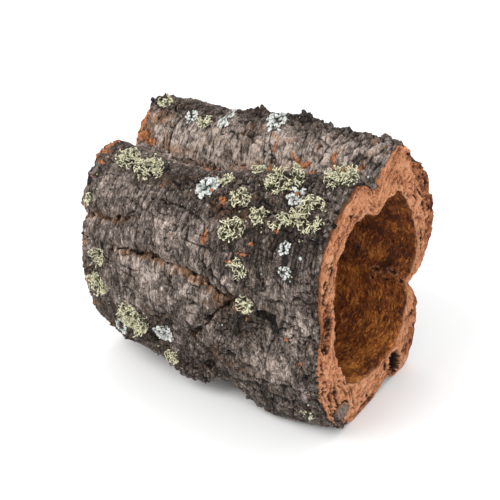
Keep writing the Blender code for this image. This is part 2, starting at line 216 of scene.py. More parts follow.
# Fine creases of the outside: points, half width, depth.
CREASES = (
    (((-28, 139), (-6, 139), (6, 142), (11, 153), (9, 164)), 0.7, 1.2),
    (((12, 161), (23, 167), (29, 175)), 1.5, 2.4),
    (((37, 131), (59, 128), (78, 127)), 0.6, 0.8),
    (((39, 136), (57, 135), (76, 136)), 0.5, 0.7),
    (((45, 77), (46, 89), (44, 95)), 0.7, 1.1),
    (((27, 79), (30, 90), (33, 98)), 0.6, 0.9),
    (((7, 80), (9, 90), (15, 97)), 0.5, 0.8),
    (((-10, 84), (-8, 91), (-5, 98)), 0.5, 0.8),
    (((-56, 84), (-58, 92), (-55, 99)), 0.6, 0.9),
    (((63, 181), (70, 185), (75, 177), (78, 168)), 0.6, 1.1),
    (((65, 170), (67, 176), (70, 184)), 0.5, 0.9),
    (((47, 205), (50, 193), (56, 182), (66, 175)), 0.7, 0.9),
    (((-78, 139), (-75, 154), (-79, 168)), 0.8, 1.3),
    (((-60, 132), (-62, 146), (-60, 156)), 0.5, 0.7),
    (((-4, 208), (10, 212), (26, 206)), 0.8, 1.1),
    (((36, 214), (50, 217), (63, 215), (78, 211)), 0.7, 1.1),
    (((44, 225), (60, 224), (78, 224)), 0.7, 1.1),
    (((-30, 196), (-12, 201), (0, 207)), 0.6, 0.8),
    (((55, 91), (59, 88), (61, 84)), 0.7, 1.1),
    (((61, 92), (65, 89), (68, 85)), 0.7, 1.2),
    (((68, 92), (72, 88), (75, 83)), 0.7, 1.2),
    (((46, 90), (51, 87), (53, 82)), 0.6, 0.9),
    (((74, 93), (77, 88), (78, 82)), 0.6, 1.0),
)
# Holes, dented and darkened with painted shade: place, half length along the tube, half width round it,
# depth.
HOLES = (
    ((47, 178), 5.5, 3.4, 1.6), ((52, 183), 3.2, 4.2, 1.8), ((31, 161), 1.5, 3.0, 0.9),
    ((-64, 176), 1.6, 6.0, 1.2), ((64, 91), 2.4, 3.4, 1.0), ((-5, 118), 3.0, 1.6, 1.0),
    ((4, 226), 3.0, 3.0, 1.4), ((26, 206), 3.4, 2.0, 1.0), ((77, 166), 1.4, 2.4, 1.0),
    ((72, 205), 1.6, 4.5, 1.0), ((67, 206), 1.1, 4.0, 0.8), ((-78, 142), 2.0, 3.0, 1.4),
)
# Knobs that stand up on the ridge and the foot: place, half size, height.
KNOBS = (
    ((-71, 76), 3.6, 2.2), ((-4, 79), 3.4, 3.2), ((9, 78), 3.0, 1.8), ((20, 75), 3.8, 3.0),
    ((29, 82), 3.2, 2.2), ((45, 76), 3.6, 2.0), ((-13, 75), 2.4, 2.2), ((61, 80), 3.4, 1.4),
    ((70, 78), 3.0, 1.6), ((4, 218), 4.0, 1.8), ((-10, 212), 3.4, 1.4), ((16, 219), 3.4, 1.4),
    ((-78, 78), 3.0, 1.2), ((-63, 97), 3.0, 1.2), ((-74, 101), 3.0, 1.6),
)

# Patches of the outside: x, angle, half length along the tube, half width round it, strength.
CRUMBLY = (
    (30, 124, 48, 18, 1.0), (66, 112, 22, 14, 0.8), (-62, 122, 16, 7, 0.5), (-20, 120, 30, 9, 0.8),
    (-62, 77, 20, 7, 0.9), (-20, 77, 30, 8, 1.0), (24, 78, 24, 8, 1.0), (60, 79, 22, 8, 1.0),
    (-6, 232, 26, 13, 1.0), (-45, 221, 28, 14, 0.8), (-73, 186, 9, 24, 0.8), (30, 190, 14, 16, 0.8),
    (-28, 208, 26, 9, 0.6), (20, 206, 12, 12, 0.7), (14, 146, 12, 7, 0.4), (60, 250, 30, 12, 0.7),
    (0, 262, 70, 12, 0.7), (70, 200, 10, 9, 0.7), (-26, 103, 40, 5, 0.7), (50, 103, 34, 5, 0.6),
    (40, 62, 30, 12, 0.6), (-40, 330, 30, 14, 0.6), (20, 15, 24, 18, 0.5), (-50, 40, 22, 14, 0.6),
)
STRIPED = (
    (58, 220, 32, 14, 1.0), (73, 156, 9, 12, 0.5), (66, 178, 8, 8, 0.6),
    (10, 308, 60, 20, 0.8), (0, 350, 50, 10, 0.5), (-30, 98, 44, 5, 0.7), (40, 97, 40, 5, 0.7),
)
# Where PALE lies along the back ridge's face and the furrow under it, round 85 to 105 degrees, it is partly
# painted light that makes up for the furrow's shade; elsewhere it is the crust's own paler bark.
PALE = (
    (-75, 150, 7, 20, 0.5), (-20, 112, 40, 5, 0.5), (-61, 141, 12, 12, 0.6), (-61, 163, 12, 8, 0.7),
    (-12, 152, 28, 10, 0.8), (-22, 178, 26, 12, 1.0), (62, 160, 18, 12, 0.4), (68, 177, 10, 12, 0.8),
    (46, 208, 16, 10, 0.6), (-36, 92, 44, 10, 1.3), (28, 92, 40, 10, 1.35), (-26, 195, 16, 6, 0.4),
    (-50, 172, 10, 10, 0.5), (75, 100, 8, 8, 0.3), (-50, 97, 26, 8, 1.3), (-6, 99, 30, 8, 1.4),
    (40, 98, 30, 6, 1.1), (10, 170, 10, 9, 0.6), (50, 88, 18, 9, 1.4), (68, 85, 12, 8, 1.4),
    (-74, 98, 8, 10, 0.5), (20, 88, 20, 7, 0.9), (24, 162, 9, 4, 0.9), (50, 204, 26, 13, 1.1),
    (-76, 172, 6, 30, 0.9), (-30, 88, 30, 6, 0.8), (-20, 105, 50, 6, 1.25), (0, 186, 8, 8, 0.5),
    (50, 150, 20, 10, 0.2), (66, 93, 16, 6, 0.6), (20, 340, 40, 20, 0.6), (-30, 300, 30, 20, 0.6),
    (30, 40, 30, 14, 0.5), (-50, 20, 20, 14, 0.6),
)
# Where DARK lies low on the front and under the tube, round 212 to 262 degrees, it is partly painted shade
# where the tube turns away from the light; elsewhere it is the crust's own darker bark.
DARK = (
    (-34, 127, 26, 9, 0.6), (20, 134, 30, 9, 0.55), (27, 158, 12, 9, 0.8), (62, 138, 22, 12, 1.0),
    (46, 148, 26, 12, 0.9), (62, 158, 14, 8, 0.6), (34, 186, 12, 12, 0.7), (6, 212, 26, 14, 0.6),
    (44, 226, 46, 12, 0.6), (-34, 107, 26, 5, 0.1), (46, 106, 34, 5, 0.3), (-73, 182, 8, 20, 0.2),
    (0, 76, 70, 6, 0.6), (30, 112, 46, 8, 0.5), (-45, 214, 26, 12, 0.7), (50, 300, 30, 14, 0.6),
    (-20, 10, 30, 12, 0.5), (0, 262, 70, 14, 0.7), (52, 180, 8, 6, 0.8), (40, 150, 16, 8, 0.4),
    (-78, 150, 5, 14, 0.1), (72, 205, 8, 7, 0.6),
)
WARM = (
    (-28, 128, 30, 10, 0.65), (-75, 162, 7, 24, 0.6), (-16, 107, 40, 6, 0.75), (-6, 148, 24, 6, 0.3),
    (20, 178, 9, 10, 0.9), (38, 192, 12, 9, 0.6), (54, 193, 10, 6, 0.5), (-2, 99, 30, 6, 0.8),
    (30, 97, 20, 4, 0.7), (-52, 97, 22, 5, 0.9), (-48, 172, 8, 5, 0.7), (-62, 182, 8, 8, 0.5),
    (-36, 150, 7, 5, 0.4), (-8, 228, 14, 8, 0.5), (-66, 86, 10, 7, 0.9), (33, 150, 9, 7, 0.5),
    (-62, 222, 14, 8, 0.8), (0, 320, 26, 8, 0.7), (50, 20, 18, 8, 0.6), (-30, 60, 18, 7, 0.6),
    (-60, 92, 12, 8, 0.6), (-12, 90, 26, 6, 0.35), (-74, 214, 6, 8, 0.7), (0, 131, 12, 7, 0.5),
    (-30, 101, 36, 5, 0.8), (36, 101, 34, 4, 0.8), (-74, 92, 8, 12, 1.0), (-74, 128, 8, 8, 0.8),
    (68, 88, 12, 7, 0.5), (0, 90, 70, 12, 0.6), (76, 84, 7, 8, 0.7), (-60, 156, 18, 5, 0.8),
    (-26, 168, 16, 4, 0.75), (4, 168, 14, 4, 0.85), (24, 178, 8, 7, 0.85), (24, 134, 34, 12, 0.72),
    (20, 212, 40, 14, 0.65), (14, 150, 30, 14, 0.35), (-70, 160, 8, 14, 0.5), (40, 205, 20, 10, 0.4),
    (-30, 215, 20, 8, 0.5),
)
# Places where the crust has come off and orange cork shows: x, angle, half length, half width.
CHIPS = (
    (-32, 132, 1.1, 1.3), (0, 123, 2.4, 1.8), (2, 128, 1.8, 1.2), (12, 131, 2.4, 2.2),
    (-5, 119, 2.0, 1.0), (9, 148, 1.9, 5.4), (49, 136, 1.4, 1.6), (36, 182, 1.6, 1.4),
    (-80, 88, 2.8, 9.0), (-76, 95, 5.0, 3.4), (-69, 97, 5.0, 2.2), (-77, 124, 3.4, 2.4),
    (-75, 131, 4.0, 1.2), (-79, 116, 1.8, 5.0), (33, 149, 3.2, 1.0), (27, 154, 2.4, 1.2),
    (37, 144, 1.6, 0.9), (60, 186, 1.0, 2.0), (70, 196, 1.0, 1.8), (14, 92, 1.0, 2.2),
    (-78, 104, 2.2, 1.6), (-66, 88, 1.6, 0.9), (-10, 50, 3.0, 2.0), (40, 8, 2.6, 3.0),
    (52, 120, 1.2, 1.0), (-60, 340, 3.4, 2.0), (10, 300, 3.0, 2.0), (70, 320, 2.2, 3.4),
    (-76, 60, 2.4, 3.4), (-79, 200, 1.2, 3.0),
)

# Lines along which the crust has peeled and its orange edge shows: points, half width.
PEELED_EDGES = (
    (((26, 93.5), (30, 95.5), (34, 96.5), (39, 96)), 1.1),
    (((50, 92), (53, 94.5), (57, 96), (62, 94.5), (68, 92.5)), 1.3),
    (((12, 98), (17, 99), (24, 98)), 0.6),
    (((40, 99), (46, 98)), 0.6),
    (((-30, 103), (-22, 101), (-14, 102)), 0.6),
)
# Where the far end's crust is off its rim, as patches.
FAR_BARE = ((-80, 90, 9, 8, 1.0), (-80, 126, 9, 8, 1.0), (-80, 108, 9, 6, 0.7), (-80, 300, 9, 20, 1.0))

# Marks on the near sawn face: angle, radius, half length along the outline, half width, depth,
# darkness, redness.
# Each mark's darkness is partly painted shade in its dent and partly its own darker colour.
FACE_MARKS = (
    (155, 61.5, 4.0, 1.4, 3.4, 1.0, 0.0), (172, 52.5, 3.0, 1.6, 1.6, 0.6, 1.0),
    (181, 57.5, 7.0, 1.2, 1.8, 0.8, 1.0), (178, 53.4, 9.0, 2.6, 1.8, 0.35, 1.0),
    (166, 56.0, 2.6, 1.0, 1.4, 0.7, 0.9), (188, 55.0, 2.6, 1.2, 1.4, 0.7, 0.9),
    (294, 76.5, 4.6, 9.0, 4.8, 1.0, 0.1), (292, 70.5, 3.6, 5.0, 4.4, 1.0, 0.1),
    (285, 66.5, 1.4, 2.0, 1.8, 0.8, 0.4), (287, 74.0, 1.8, 1.2, 1.8, 0.9, 0.3),
    (214, 66.5, 2.0, 1.2, 2.0, 0.8, 0.3), (119, 69.0, 2.4, 0.9, 1.6, 0.9, 0.2),
    (134, 66.0, 12.0, 0.5, 1.4, 0.8, 0.4), (125, 61.0, 3.0, 0.5, 1.0, 0.7, 0.6),
    (144, 62.5, 2.0, 1.0, 1.2, 0.7, 0.8), (48, 54.0, 4.6, 0.6, 1.4, 0.7, 0.6),
    (42, 58.0, 5.0, 0.7, 1.4, 0.7, 0.7), (28, 57.5, 3.6, 1.8, 1.8, 0.7, 0.9),
    (12, 50.0, 4.0, 0.7, 1.4, 0.7, 0.6), (4, 49.0, 5.0, 0.6, 1.4, 0.7, 0.6),
    (62, 68.0, 2.0, 0.7, 2.4, 0.9, 0.1), (308, 78.0, 5.0, 1.2, 1.6, 0.7, 0.5),
    (318, 62.0, 5.0, 0.8, 1.2, 0.6, 0.6), (20, 64.0, 4.0, 0.7, 1.2, 0.6, 0.6),
    (342, 52.0, 3.4, 1.0, 1.6, 0.8, 0.5), (331, 55.0, 1.8, 1.2, 1.4, 0.8, 0.4),
    (63, 60.0, 1.0, 0.7, 1.0, 0.8, 0.4), (66, 62.5, 0.8, 0.6, 1.0, 0.8, 0.4),
    (150, 64.0, 6.0, 0.5, 1.2, 0.7, 0.4), (196, 60.0, 5.0, 0.6, 1.4, 0.7, 0.5),
)
# Slits of the near face: points of (radius, angle), half width, depth.
FACE_SLITS = (
    (((68, 238), (66, 235), (62, 230), (57, 224), (53.5, 219)), 1.0, 3.2),
    (((73, 235), (67, 229), (61, 220)), 1.4, 3.2),
    (((67.5, 221), (63, 210)), 0.8, 2.6),
    (((76, 257), (66.5, 252), (61, 249)), 0.7, 2.6),
    (((75, 125), (73, 130), (71, 135), (70, 140), (67, 146), (63.5, 152)), 0.6, 1.8),
    (((62, 154), (60, 159), (58, 164)), 0.9, 2.2),
    (((72, 119), (66, 120)), 0.6, 1.6),
    (((73, 97), (68, 98), (61, 96)), 0.7, 2.0),
    (((74, 101), (69, 102), (65, 101)), 0.6, 1.6),
    (((67, 207), (61, 203), (58, 197)), 0.6, 1.6),
    (((76, 263), (69, 262)), 0.7, 2.4),
    (((74, 268), (68, 266)), 0.6, 1.4),
    (((75, 60), (69, 50), (66, 40), (62, 26), (58, 12)), 0.7, 1.8),
    (((79, 66), (74, 58), (71, 47), (67, 36)), 0.6, 1.6),
    (((61, 359), (60, 354), (58, 346)), 0.7, 1.8),
)
# The older, rougher layer of the near face: angle, radius, half length, half width, strength.
RED_LAYER = (
    (30, 66, 24, 7.0, 1.3), (52, 69, 12, 7.0, 1.2), (66, 76, 9, 5.0, 0.7), (6, 61, 12, 7.0, 1.2),
    (344, 58, 8, 6.0, 1.0), (326, 67, 12, 9.0, 0.9), (308, 80, 10, 10.0, 1.1), (290, 80, 10, 7.0, 0.9),
    (176, 56, 13, 3.4, 1.2), (268, 80, 14, 5.0, 0.8), (222, 62, 9, 5.0, 0.5), (205, 61, 8, 3.0, 0.5),
)
# The knob of outer bark that grew into the foot and shows grey on the near face: angle, radius, half
# length and half width.
KNOB = (243, 71.6, 6.6, 5.2)
# The dark outer bark that wraps round the foot below the knob: angle, half width in degrees, depth.
RIND = (245, 9.0, 3.6)
# Knots in the hollow's lining, raised round a pit: x, angle, half length, half width, height.
KNOTS = (
    (60, 338, 3.0, 2.6, 3.2), (70, 341, 3.6, 2.4, 3.4), (77, 335, 2.8, 3.2, 2.8),
    (57, 330, 2.6, 2.4, 2.4), (66, 333, 2.4, 2.0, 2.4), (44, 350, 3.4, 2.2, 1.6),
    (20, 352, 4.0, 2.4, 1.2), (-20, 20, 5.0, 3.0, 1.4), (36, 60, 3.0, 2.0, 0.8), (10, 330, 4.0, 2.0, 1.0),
    (-10, 290, 4.0, 3.0, 1.0), (30, 255, 3.0, 2.0, 0.8), (0, 150, 4.0, 3.0, 1.2),
    (48, 190, 3.0, 3.0, 1.0),
)

# Seeds of the noise on the sawn faces and of the random draws.
NEAR_FACE_SEED = 170
FAR_FACE_SEED = 190
CRUMB_SEED = 5
CHIP_SEED = 6
FIBRE_SEED = 7
SPECK_SEED = 8
SHRUB_SEED = 300
LEAF_SEED = 400
# How many flakes and fibres there are, and the radius of the largest crumb.
CHIP_COUNT = 240
FIBRE_COUNT = 420
LARGEST_CRUMB = 2.2
# Patches where young lichen grows besides that round the grown ones.
SPECKLED = ((25, 126, 50, 16), (70, 232, 16, 12), (-60, 200, 16, 16))
# The turn between one lobe of a rosette and the next, as a share of a full turn.
LOBE_TURN = 0.382

# The floor, in mm: how far it reaches, its points along each side, and its depth under the part.
FLOOR_REACH = 3000.0
FLOOR_POINTS = 9
FLOOR_DEPTH = 0.05
# The lights, in metres: name, place, size, and the studio value that gives the power.
LIGHTS = (
    ("key_light", (-0.45, -0.95, 1.25), 0.9, "key"),
    ("fill_light", (1.15, -0.55, 0.75), 0.8, "fill"),
    ("top_light", (0.1, 0.5, 1.4), 1.0, "fill"),
)
LIGHT_TARGET = (0.0, 0.0, 0.08)
# The camera sees a point of the near rim, in metres, at a pixel of a square picture. The focal length
# is in pixels too, and the distance to that point along the view is in metres.
RIM_POINT = (0.080, -0.006, 0.083)
RIM_PIXEL = (372, 290)
PICTURE_PIXELS = 500
FOCAL_PIXELS = 1100.0
RIM_DISTANCE = 0.5892857
SENSOR_WIDTH = 36.0
NEAREST_SEEN = 0.01


# Formulas of the solid.


def clipped(value):
    """A value cut off below 0 and above 1."""
    return np.clip(value, 0.0, 1.0)


def above(points, height=0.0):
    """Points, raised to a height where they are lower."""
    points[..., 2] = np.maximum(points[..., 2], height)
    return points


def smooth_curve(values, place):
    """Catmull-Rom curve at a place counted in steps of the values, which run along the last axis."""
    values = np.asarray(values, float)
    first = np.floor(place).astype(int)
    t = place - first
    a, b, c, d = (values[np.clip(first + k, 0, len(values) - 1)] for k in (-1, 0, 1, 2))
    return b + 0.5 * t * (c - a + t * (2 * a - 5 * b + 4 * c - d + t * (3 * (b - c) + d - a)))


def along(values, t):
    """A smooth curve through values that stand at even steps from the near end to the far end."""
    return smooth_curve(values, clipped(t) * (len(values) - 1))


def parabola(near, middle, far, t):
    """The parabola through the values at the near end (t = 0), the middle and the far end (t = 1)."""
    return near * (1 - t) * (1 - 2 * t) + 4 * middle * t * (1 - t) + far * t * (2 * t - 1)


def around(values, angle):
    """A smooth closed curve through values that stand at even steps of a full turn."""
    place = np.mod(angle, 360.0) / 360.0 * len(values)
    return smooth_curve(values[-2:] + values + values[:2], place + 2)


def scrambled(lattice, seed):
    """A repeatable whole number from 0 to 65535 for each point of a lattice of whole numbers."""
    n = lattice @ np.array([374761393, 668265263, 1103515245]) + seed * 1274126177
    n = (n ^ (n >> 13)) * 1274126177 & 0x7FFFFFFF
    return (n ^ (n >> 16)) & 0xFFFF


def eased(t):
    """3t^2 - 2t^3, which is flat at 0 and 1."""
    return t * t * (3 - 2 * t)


def well_eased(t):
    """6t^5 - 15t^4 + 10t^3, which is flatter there."""
    return t * t * t * (t * (t * 6 - 15) + 10)


def lattice_corners(points, size, ease):
    """The eight corners of a lattice of the given size round each point. Gives each one's whole numbers,
    the way from it to the point, and its weight, eased from 0 to 1 along each axis."""
    place = np.asarray(points, float) / size
    corner = np.floor(place).astype(np.int64)
    f = place - corner
    soft = ease(f)
    for step in itertools.product((0, 1), repeat=3):
        yield corner + np.array(step), f - step, np.prod(np.where(step, soft, 1 - soft), axis=-1)


def noise(points, size, seed):
    """Smooth value noise from -1 to 1: random heights at the corners of a lattice, blended by their
    eased weights."""
    total = 0.0
    for corner, _, weight in lattice_corners(points, size, eased):
        total = total + weight * scrambled(corner, seed) / 0xFFFF
    return 2 * total - 1


def grain(points, size, seed):
    """Gradient noise from about -1 to 1: a random slope stands at each corner of a lattice, and the
    heights that the slopes give are blended by their well eased weights. The size is one number, or
    one for each axis."""
    total = 0.0
    for corner, away, weight in lattice_corners(points, size, well_eased):
        bits = scrambled(corner, seed)
        slope = np.stack([bits & 31, bits >> 5 & 31, bits >> 10 & 31], axis=-1) / 15.5 - 1
        total = total + weight * (away * slope).sum(axis=-1)
    return 1.7 * total


def creased(points, size, seed):
    """Gradient noise folded at 0, which makes lumps that meet in sharp creases."""
    return np.abs(grain(points, size, seed))


def polar(x, angle, radius):
    """Points at x, angle and radius, measured from the core line."""
    turn = np.radians(angle)
    return np.stack([x + 0 * turn, radius * np.cos(turn), radius * np.sin(turn)], axis=-1)


def turned(angle, centre):
    """The signed turn from centre to angle, within half a turn either way."""
    return np.mod(angle - centre + 180.0, 360.0) - 180.0


def arc(angle, centre, radius):
    """Length of the arc from centre to angle at a radius, with the sign of the turn."""
    return np.radians(turned(angle, centre)) * radius


def valley(t, angle, radius, angles, depths, half_widths):
    """Depth of a rounded valley, or height of a rib: depth times exp(-|across / half width|^1.6)."""
    across = arc(angle, along(angles, t), radius)
    return along(depths, t) * np.exp(-((np.abs(across) / along(half_widths, t)) ** 1.6))


def lump(x, angle, radius, place, half_length, half_width, height):
    """Height of a lump: height times exp(-(dx / half length)^2 - (across / half width)^2)."""
    across = arc(angle, place[1], radius)
    return height * np.exp(-(((x - place[0]) / half_length) ** 2) - (across / half_width) ** 2)


def from_line(x, angle, points):
    """Distance from a line on the unrolled bark, and the signed distance, below 0 above the line."""
    across, nearest = 1e9, 1e9
    here = np.stack([x, np.radians(angle) * UNROLLED_RADIUS], axis=-1)
    path = [np.array([px, np.radians(pa) * UNROLLED_RADIUS]) for px, pa in points]
    for start, end in zip(path, path[1:]):
        run = end - start
        share = clipped((here - start) @ run / (run @ run))
        away = here - start - share[..., None] * run
        distance = np.hypot(away[..., 0], away[..., 1])
        side = np.sign(run[0] * away[..., 1] - run[1] * away[..., 0])
        across = np.where(distance < nearest, side * distance, across)
        nearest = np.minimum(distance, nearest)
    return nearest, across


def crack(x, angle, points, half_width, depth, step):
    """Change of radius near a crack: a cleft, -depth times exp(-(distance / half width)^2), and above
    it a step that fades with exp(-distance / (4 half widths))."""
    nearest, across = from_line(x, angle, points)
    cleft = -depth * np.exp(-((nearest / half_width) ** 2))
    return cleft + step * (across < 0) * np.exp(-nearest / (4 * half_width))


def outer_radius(x, angle):
    """Radius of the bark's outside: the outlines, less the furrows, with lumps, swellings and cracks."""
    t = 0.5 - x / (2 * HALF)
    near, middle, far = (around(outline, angle) for outline in (NEAR_OUTLINE, MIDDLE_OUTLINE, FAR_OUTLINE))
    radius = parabola(near, middle, far, t)
    base = polar(x, angle, radius)
    fade = NEAR_SHARE + (1 - NEAR_SHARE) * clipped(t / NEAR_FADE)
    for furrow in FURROWS:
        radius = radius - valley(t, angle, radius, *furrow)
    for one in LUMPS:
        radius = radius + lump(x, angle, radius, *one)
    for seed, (size, height) in enumerate(SWELLINGS):
        radius = radius + fade * height * noise(base, size, seed)
    for line in CRACKS:
        radius = radius + crack(x, np.mod(angle, 360.0), *line)
    return radius


def inner_radius(x, angle):
    """Radius of the hollow: its outlines, less the ribs, with soft swellings."""
    t = 0.5 - x / (2 * HALF)
    radius = around(NEAR_HOLLOW, angle) * (1 - t) + around(FAR_HOLLOW, angle) * t
    base = polar(x, angle, radius)
    for rib in INNER_RIBS:
        radius = radius - valley(t, angle, radius, *rib)
    for seed, (size, height) in enumerate(INNER_SWELLINGS, INNER_SEED):
        radius = radius + height * noise(base, size, seed)
    return radius


def end_shift(angle, radius, side):
    """How far a sawn end stands out from flat at each place on it."""
    front = np.maximum(0.0, -np.cos(np.radians(angle))) * (side < 0)
    wave = noise(polar(side * 2 * HALF, angle, radius), END_WAVE_SIZE, END_SEED)
    return END_WAVE * wave - FAR_FRONT_SHORT * front


def in_place(x, angle, radius):
    """Points in mm where the part stands, with the lowest side worn flat on the ground."""
    return above(polar(x, angle, radius) + CORE)


# Fine surfaces.


def unit(vectors):
    """Each vector divided by its length."""
    return vectors / np.maximum(np.linalg.norm(vectors, axis=-1, keepdims=True), 1e-9)


def smoothstep(value, low, high):
    """0 below low, 1 above high, and 3t^2 - 2t^3 between."""
    return eased(clipped((value - low) / (high - low)))


def spots(points, size, seed, low, high):
    """Patches where gradient noise is high: 0 where it is below low and 1 where it is above high."""
    return smoothstep(grain(points, size, seed), low, high)


def near_end(x, reach):
    """1 at the sawn ends, and less inwards with exp(-(distance from the end / reach)^2)."""
    return np.exp(-(((HALF - np.abs(x)) / reach) ** 2))


def patches(x, angle, places):
    """The strongest of some patches: strength, or 1 where none is given, times
    exp(-(dx / half length)^2 - (across / half width)^2)."""
    most = np.zeros(np.broadcast(x, angle).shape)
    for px, pa, half_length, half_width, *strength in places:
        across = arc(angle, pa, UNROLLED_RADIUS)
        here = np.exp(-(((x - px) / half_length) ** 2) - (across / half_width) ** 2)
        most = np.maximum(most, (strength or [1.0])[0] * here)
    return most


def cleft(value, half_width):
    """A narrow groove where a value passes 0: exp(-(value / half width)^2)."""
    return np.exp(-((value / half_width) ** 2))


def softened(values, times):
    """Values on the grid, each averaged with its four neighbours as often as asked."""
    for _ in range(times):
        up = np.vstack([values[:1], values[:-1]])
        down = np.vstack([values[1:], values[-1:]])
        values = (2 * values + up + down + np.roll(values, 1, 1) + np.roll(values, -1, 1)) / 6
    return values


@functools.cache
def ring_angles():
    """Angles of a ring's points: even steps of the summed density, which is higher on the front."""
    fine = np.linspace(0.0, 360.0, 3601)
    low, high = (np.cos(np.radians(limit)) for limit in FRONT_LIMITS)
    front = smoothstep(np.cos(np.radians(fine - FRONT_ANGLE)), low, high)
    density = 1 + (FRONT_DENSITY - 1) * front
    summed = np.concatenate([[0.0], np.cumsum((density[1:] + density[:-1]) / 2)])
    return np.interp(np.arange(SEGMENTS) / SEGMENTS * summed[-1], summed, fine)


def normals_of(points):
    """Outward normals of a grid of rings: the cross product of the steps along and round the tube."""
    round_it = np.roll(points, -1, 1) - np.roll(points, 1, 1)
    normals = unit(np.cross(round_it, np.gradient(points, axis=0)))
    centre = points.mean(axis=(0, 1)) * [0, 1, 1] + points * [1, 0, 0]
    flip = np.sign(((points - centre) * normals).sum(axis=-1).mean())
    return normals * flip


def plate_edge(angle):
    """x of the wavy ring where the two plates of the crust meet, with a fine wander."""
    turns, places = np.array(PLATE_EDGE, float).T
    x = np.interp(angle, turns, places, period=360.0)
    ring = polar(0.0, angle, UNROLLED_RADIUS)
    return x + 1.2 * grain(ring, 6.0, 33) + 0.7 * grain(ring, 2.4, 34)


def end_offset(x, angle, radius):
    """Shift along the tube that gives the sawn ends their waves: it grows with |x / half length|^8."""
    share = x / HALF
    side = np.where(share < 0, -1.0, 1.0)
    return side * np.abs(share) ** END_FADE * end_shift(angle, radius, side)


def bites(x, angle):
    """How deep the outline is bitten near the sawn ends: rounded bites where a noise is high, and
    creased noise in two finer sizes."""
    ring = polar(x, angle, UNROLLED_RADIUS)
    rounded = 1.5 * spots(ring, 7.0, 35, 0.05, 0.6)
    return (rounded + 1.7 * creased(ring, 3.4, 36) + 0.7 * creased(ring, 1.7, 37)) * near_end(x, 2.4)


def near_cracks(x, angle):
    """Lips, torn brown bands, grooves and shadows of the cracks, and the creases' grooves. Lips are
    drawn down over the cracks by the plates above, and bands fade with exp(-(across / height)^1.6)
    below them. Lips fade out towards the sawn ends, where a fifth of each groove stays."""
    here = polar(x, angle, UNROLLED_RADIUS)
    wander = 1.5 * grain(here, 5.0, 31) + 0.8 * grain(here, 2.2, 32)
    lip, band, groove, shadow = (np.zeros_like(x) for _ in range(4))
    uneven = 1 + 0.55 * grain(here, (11.0, 30.0, 30.0), 77)
    frayed = 2.0 * grain(here, (1.0, 8.0, 8.0), 78)
    for (points, _, depth, step), (height, strength) in zip(CRACKS, TORN_BANDS):
        nearest, across = from_line(x, angle + np.degrees(wander / UNROLLED_RADIUS), points)
        ends = 1 - smoothstep(nearest - np.abs(across), 0.0, 4.0)
        lip = np.maximum(lip, (across < 0.2) * ends * step * 1.2 * np.exp(-nearest / 2.2))
        below = np.maximum(across + frayed, 0.0) / (height * uneven)
        fall = np.exp(-(below**1.6)) * (across > -0.4)
        band = np.maximum(band, ends * fall * strength)
        groove = np.maximum(groove, ends * cleft(across - 0.5, 1.0) * depth / 3.0)
        shadow = np.maximum(shadow, ends * cleft(across - 0.35, 0.6))
    for points, half_width, depth in CREASES:
        nearest, _ = from_line(x, angle + np.degrees(wander / UNROLLED_RADIUS), points)
        groove = np.maximum(groove, cleft(nearest, half_width) * depth / 1.8)
    inland = smoothstep(HALF - np.abs(x), 0.5, 6.0)
    return lip * inland, band, groove * (0.2 + 0.8 * inland), np.maximum(shadow, 0.6 * groove)


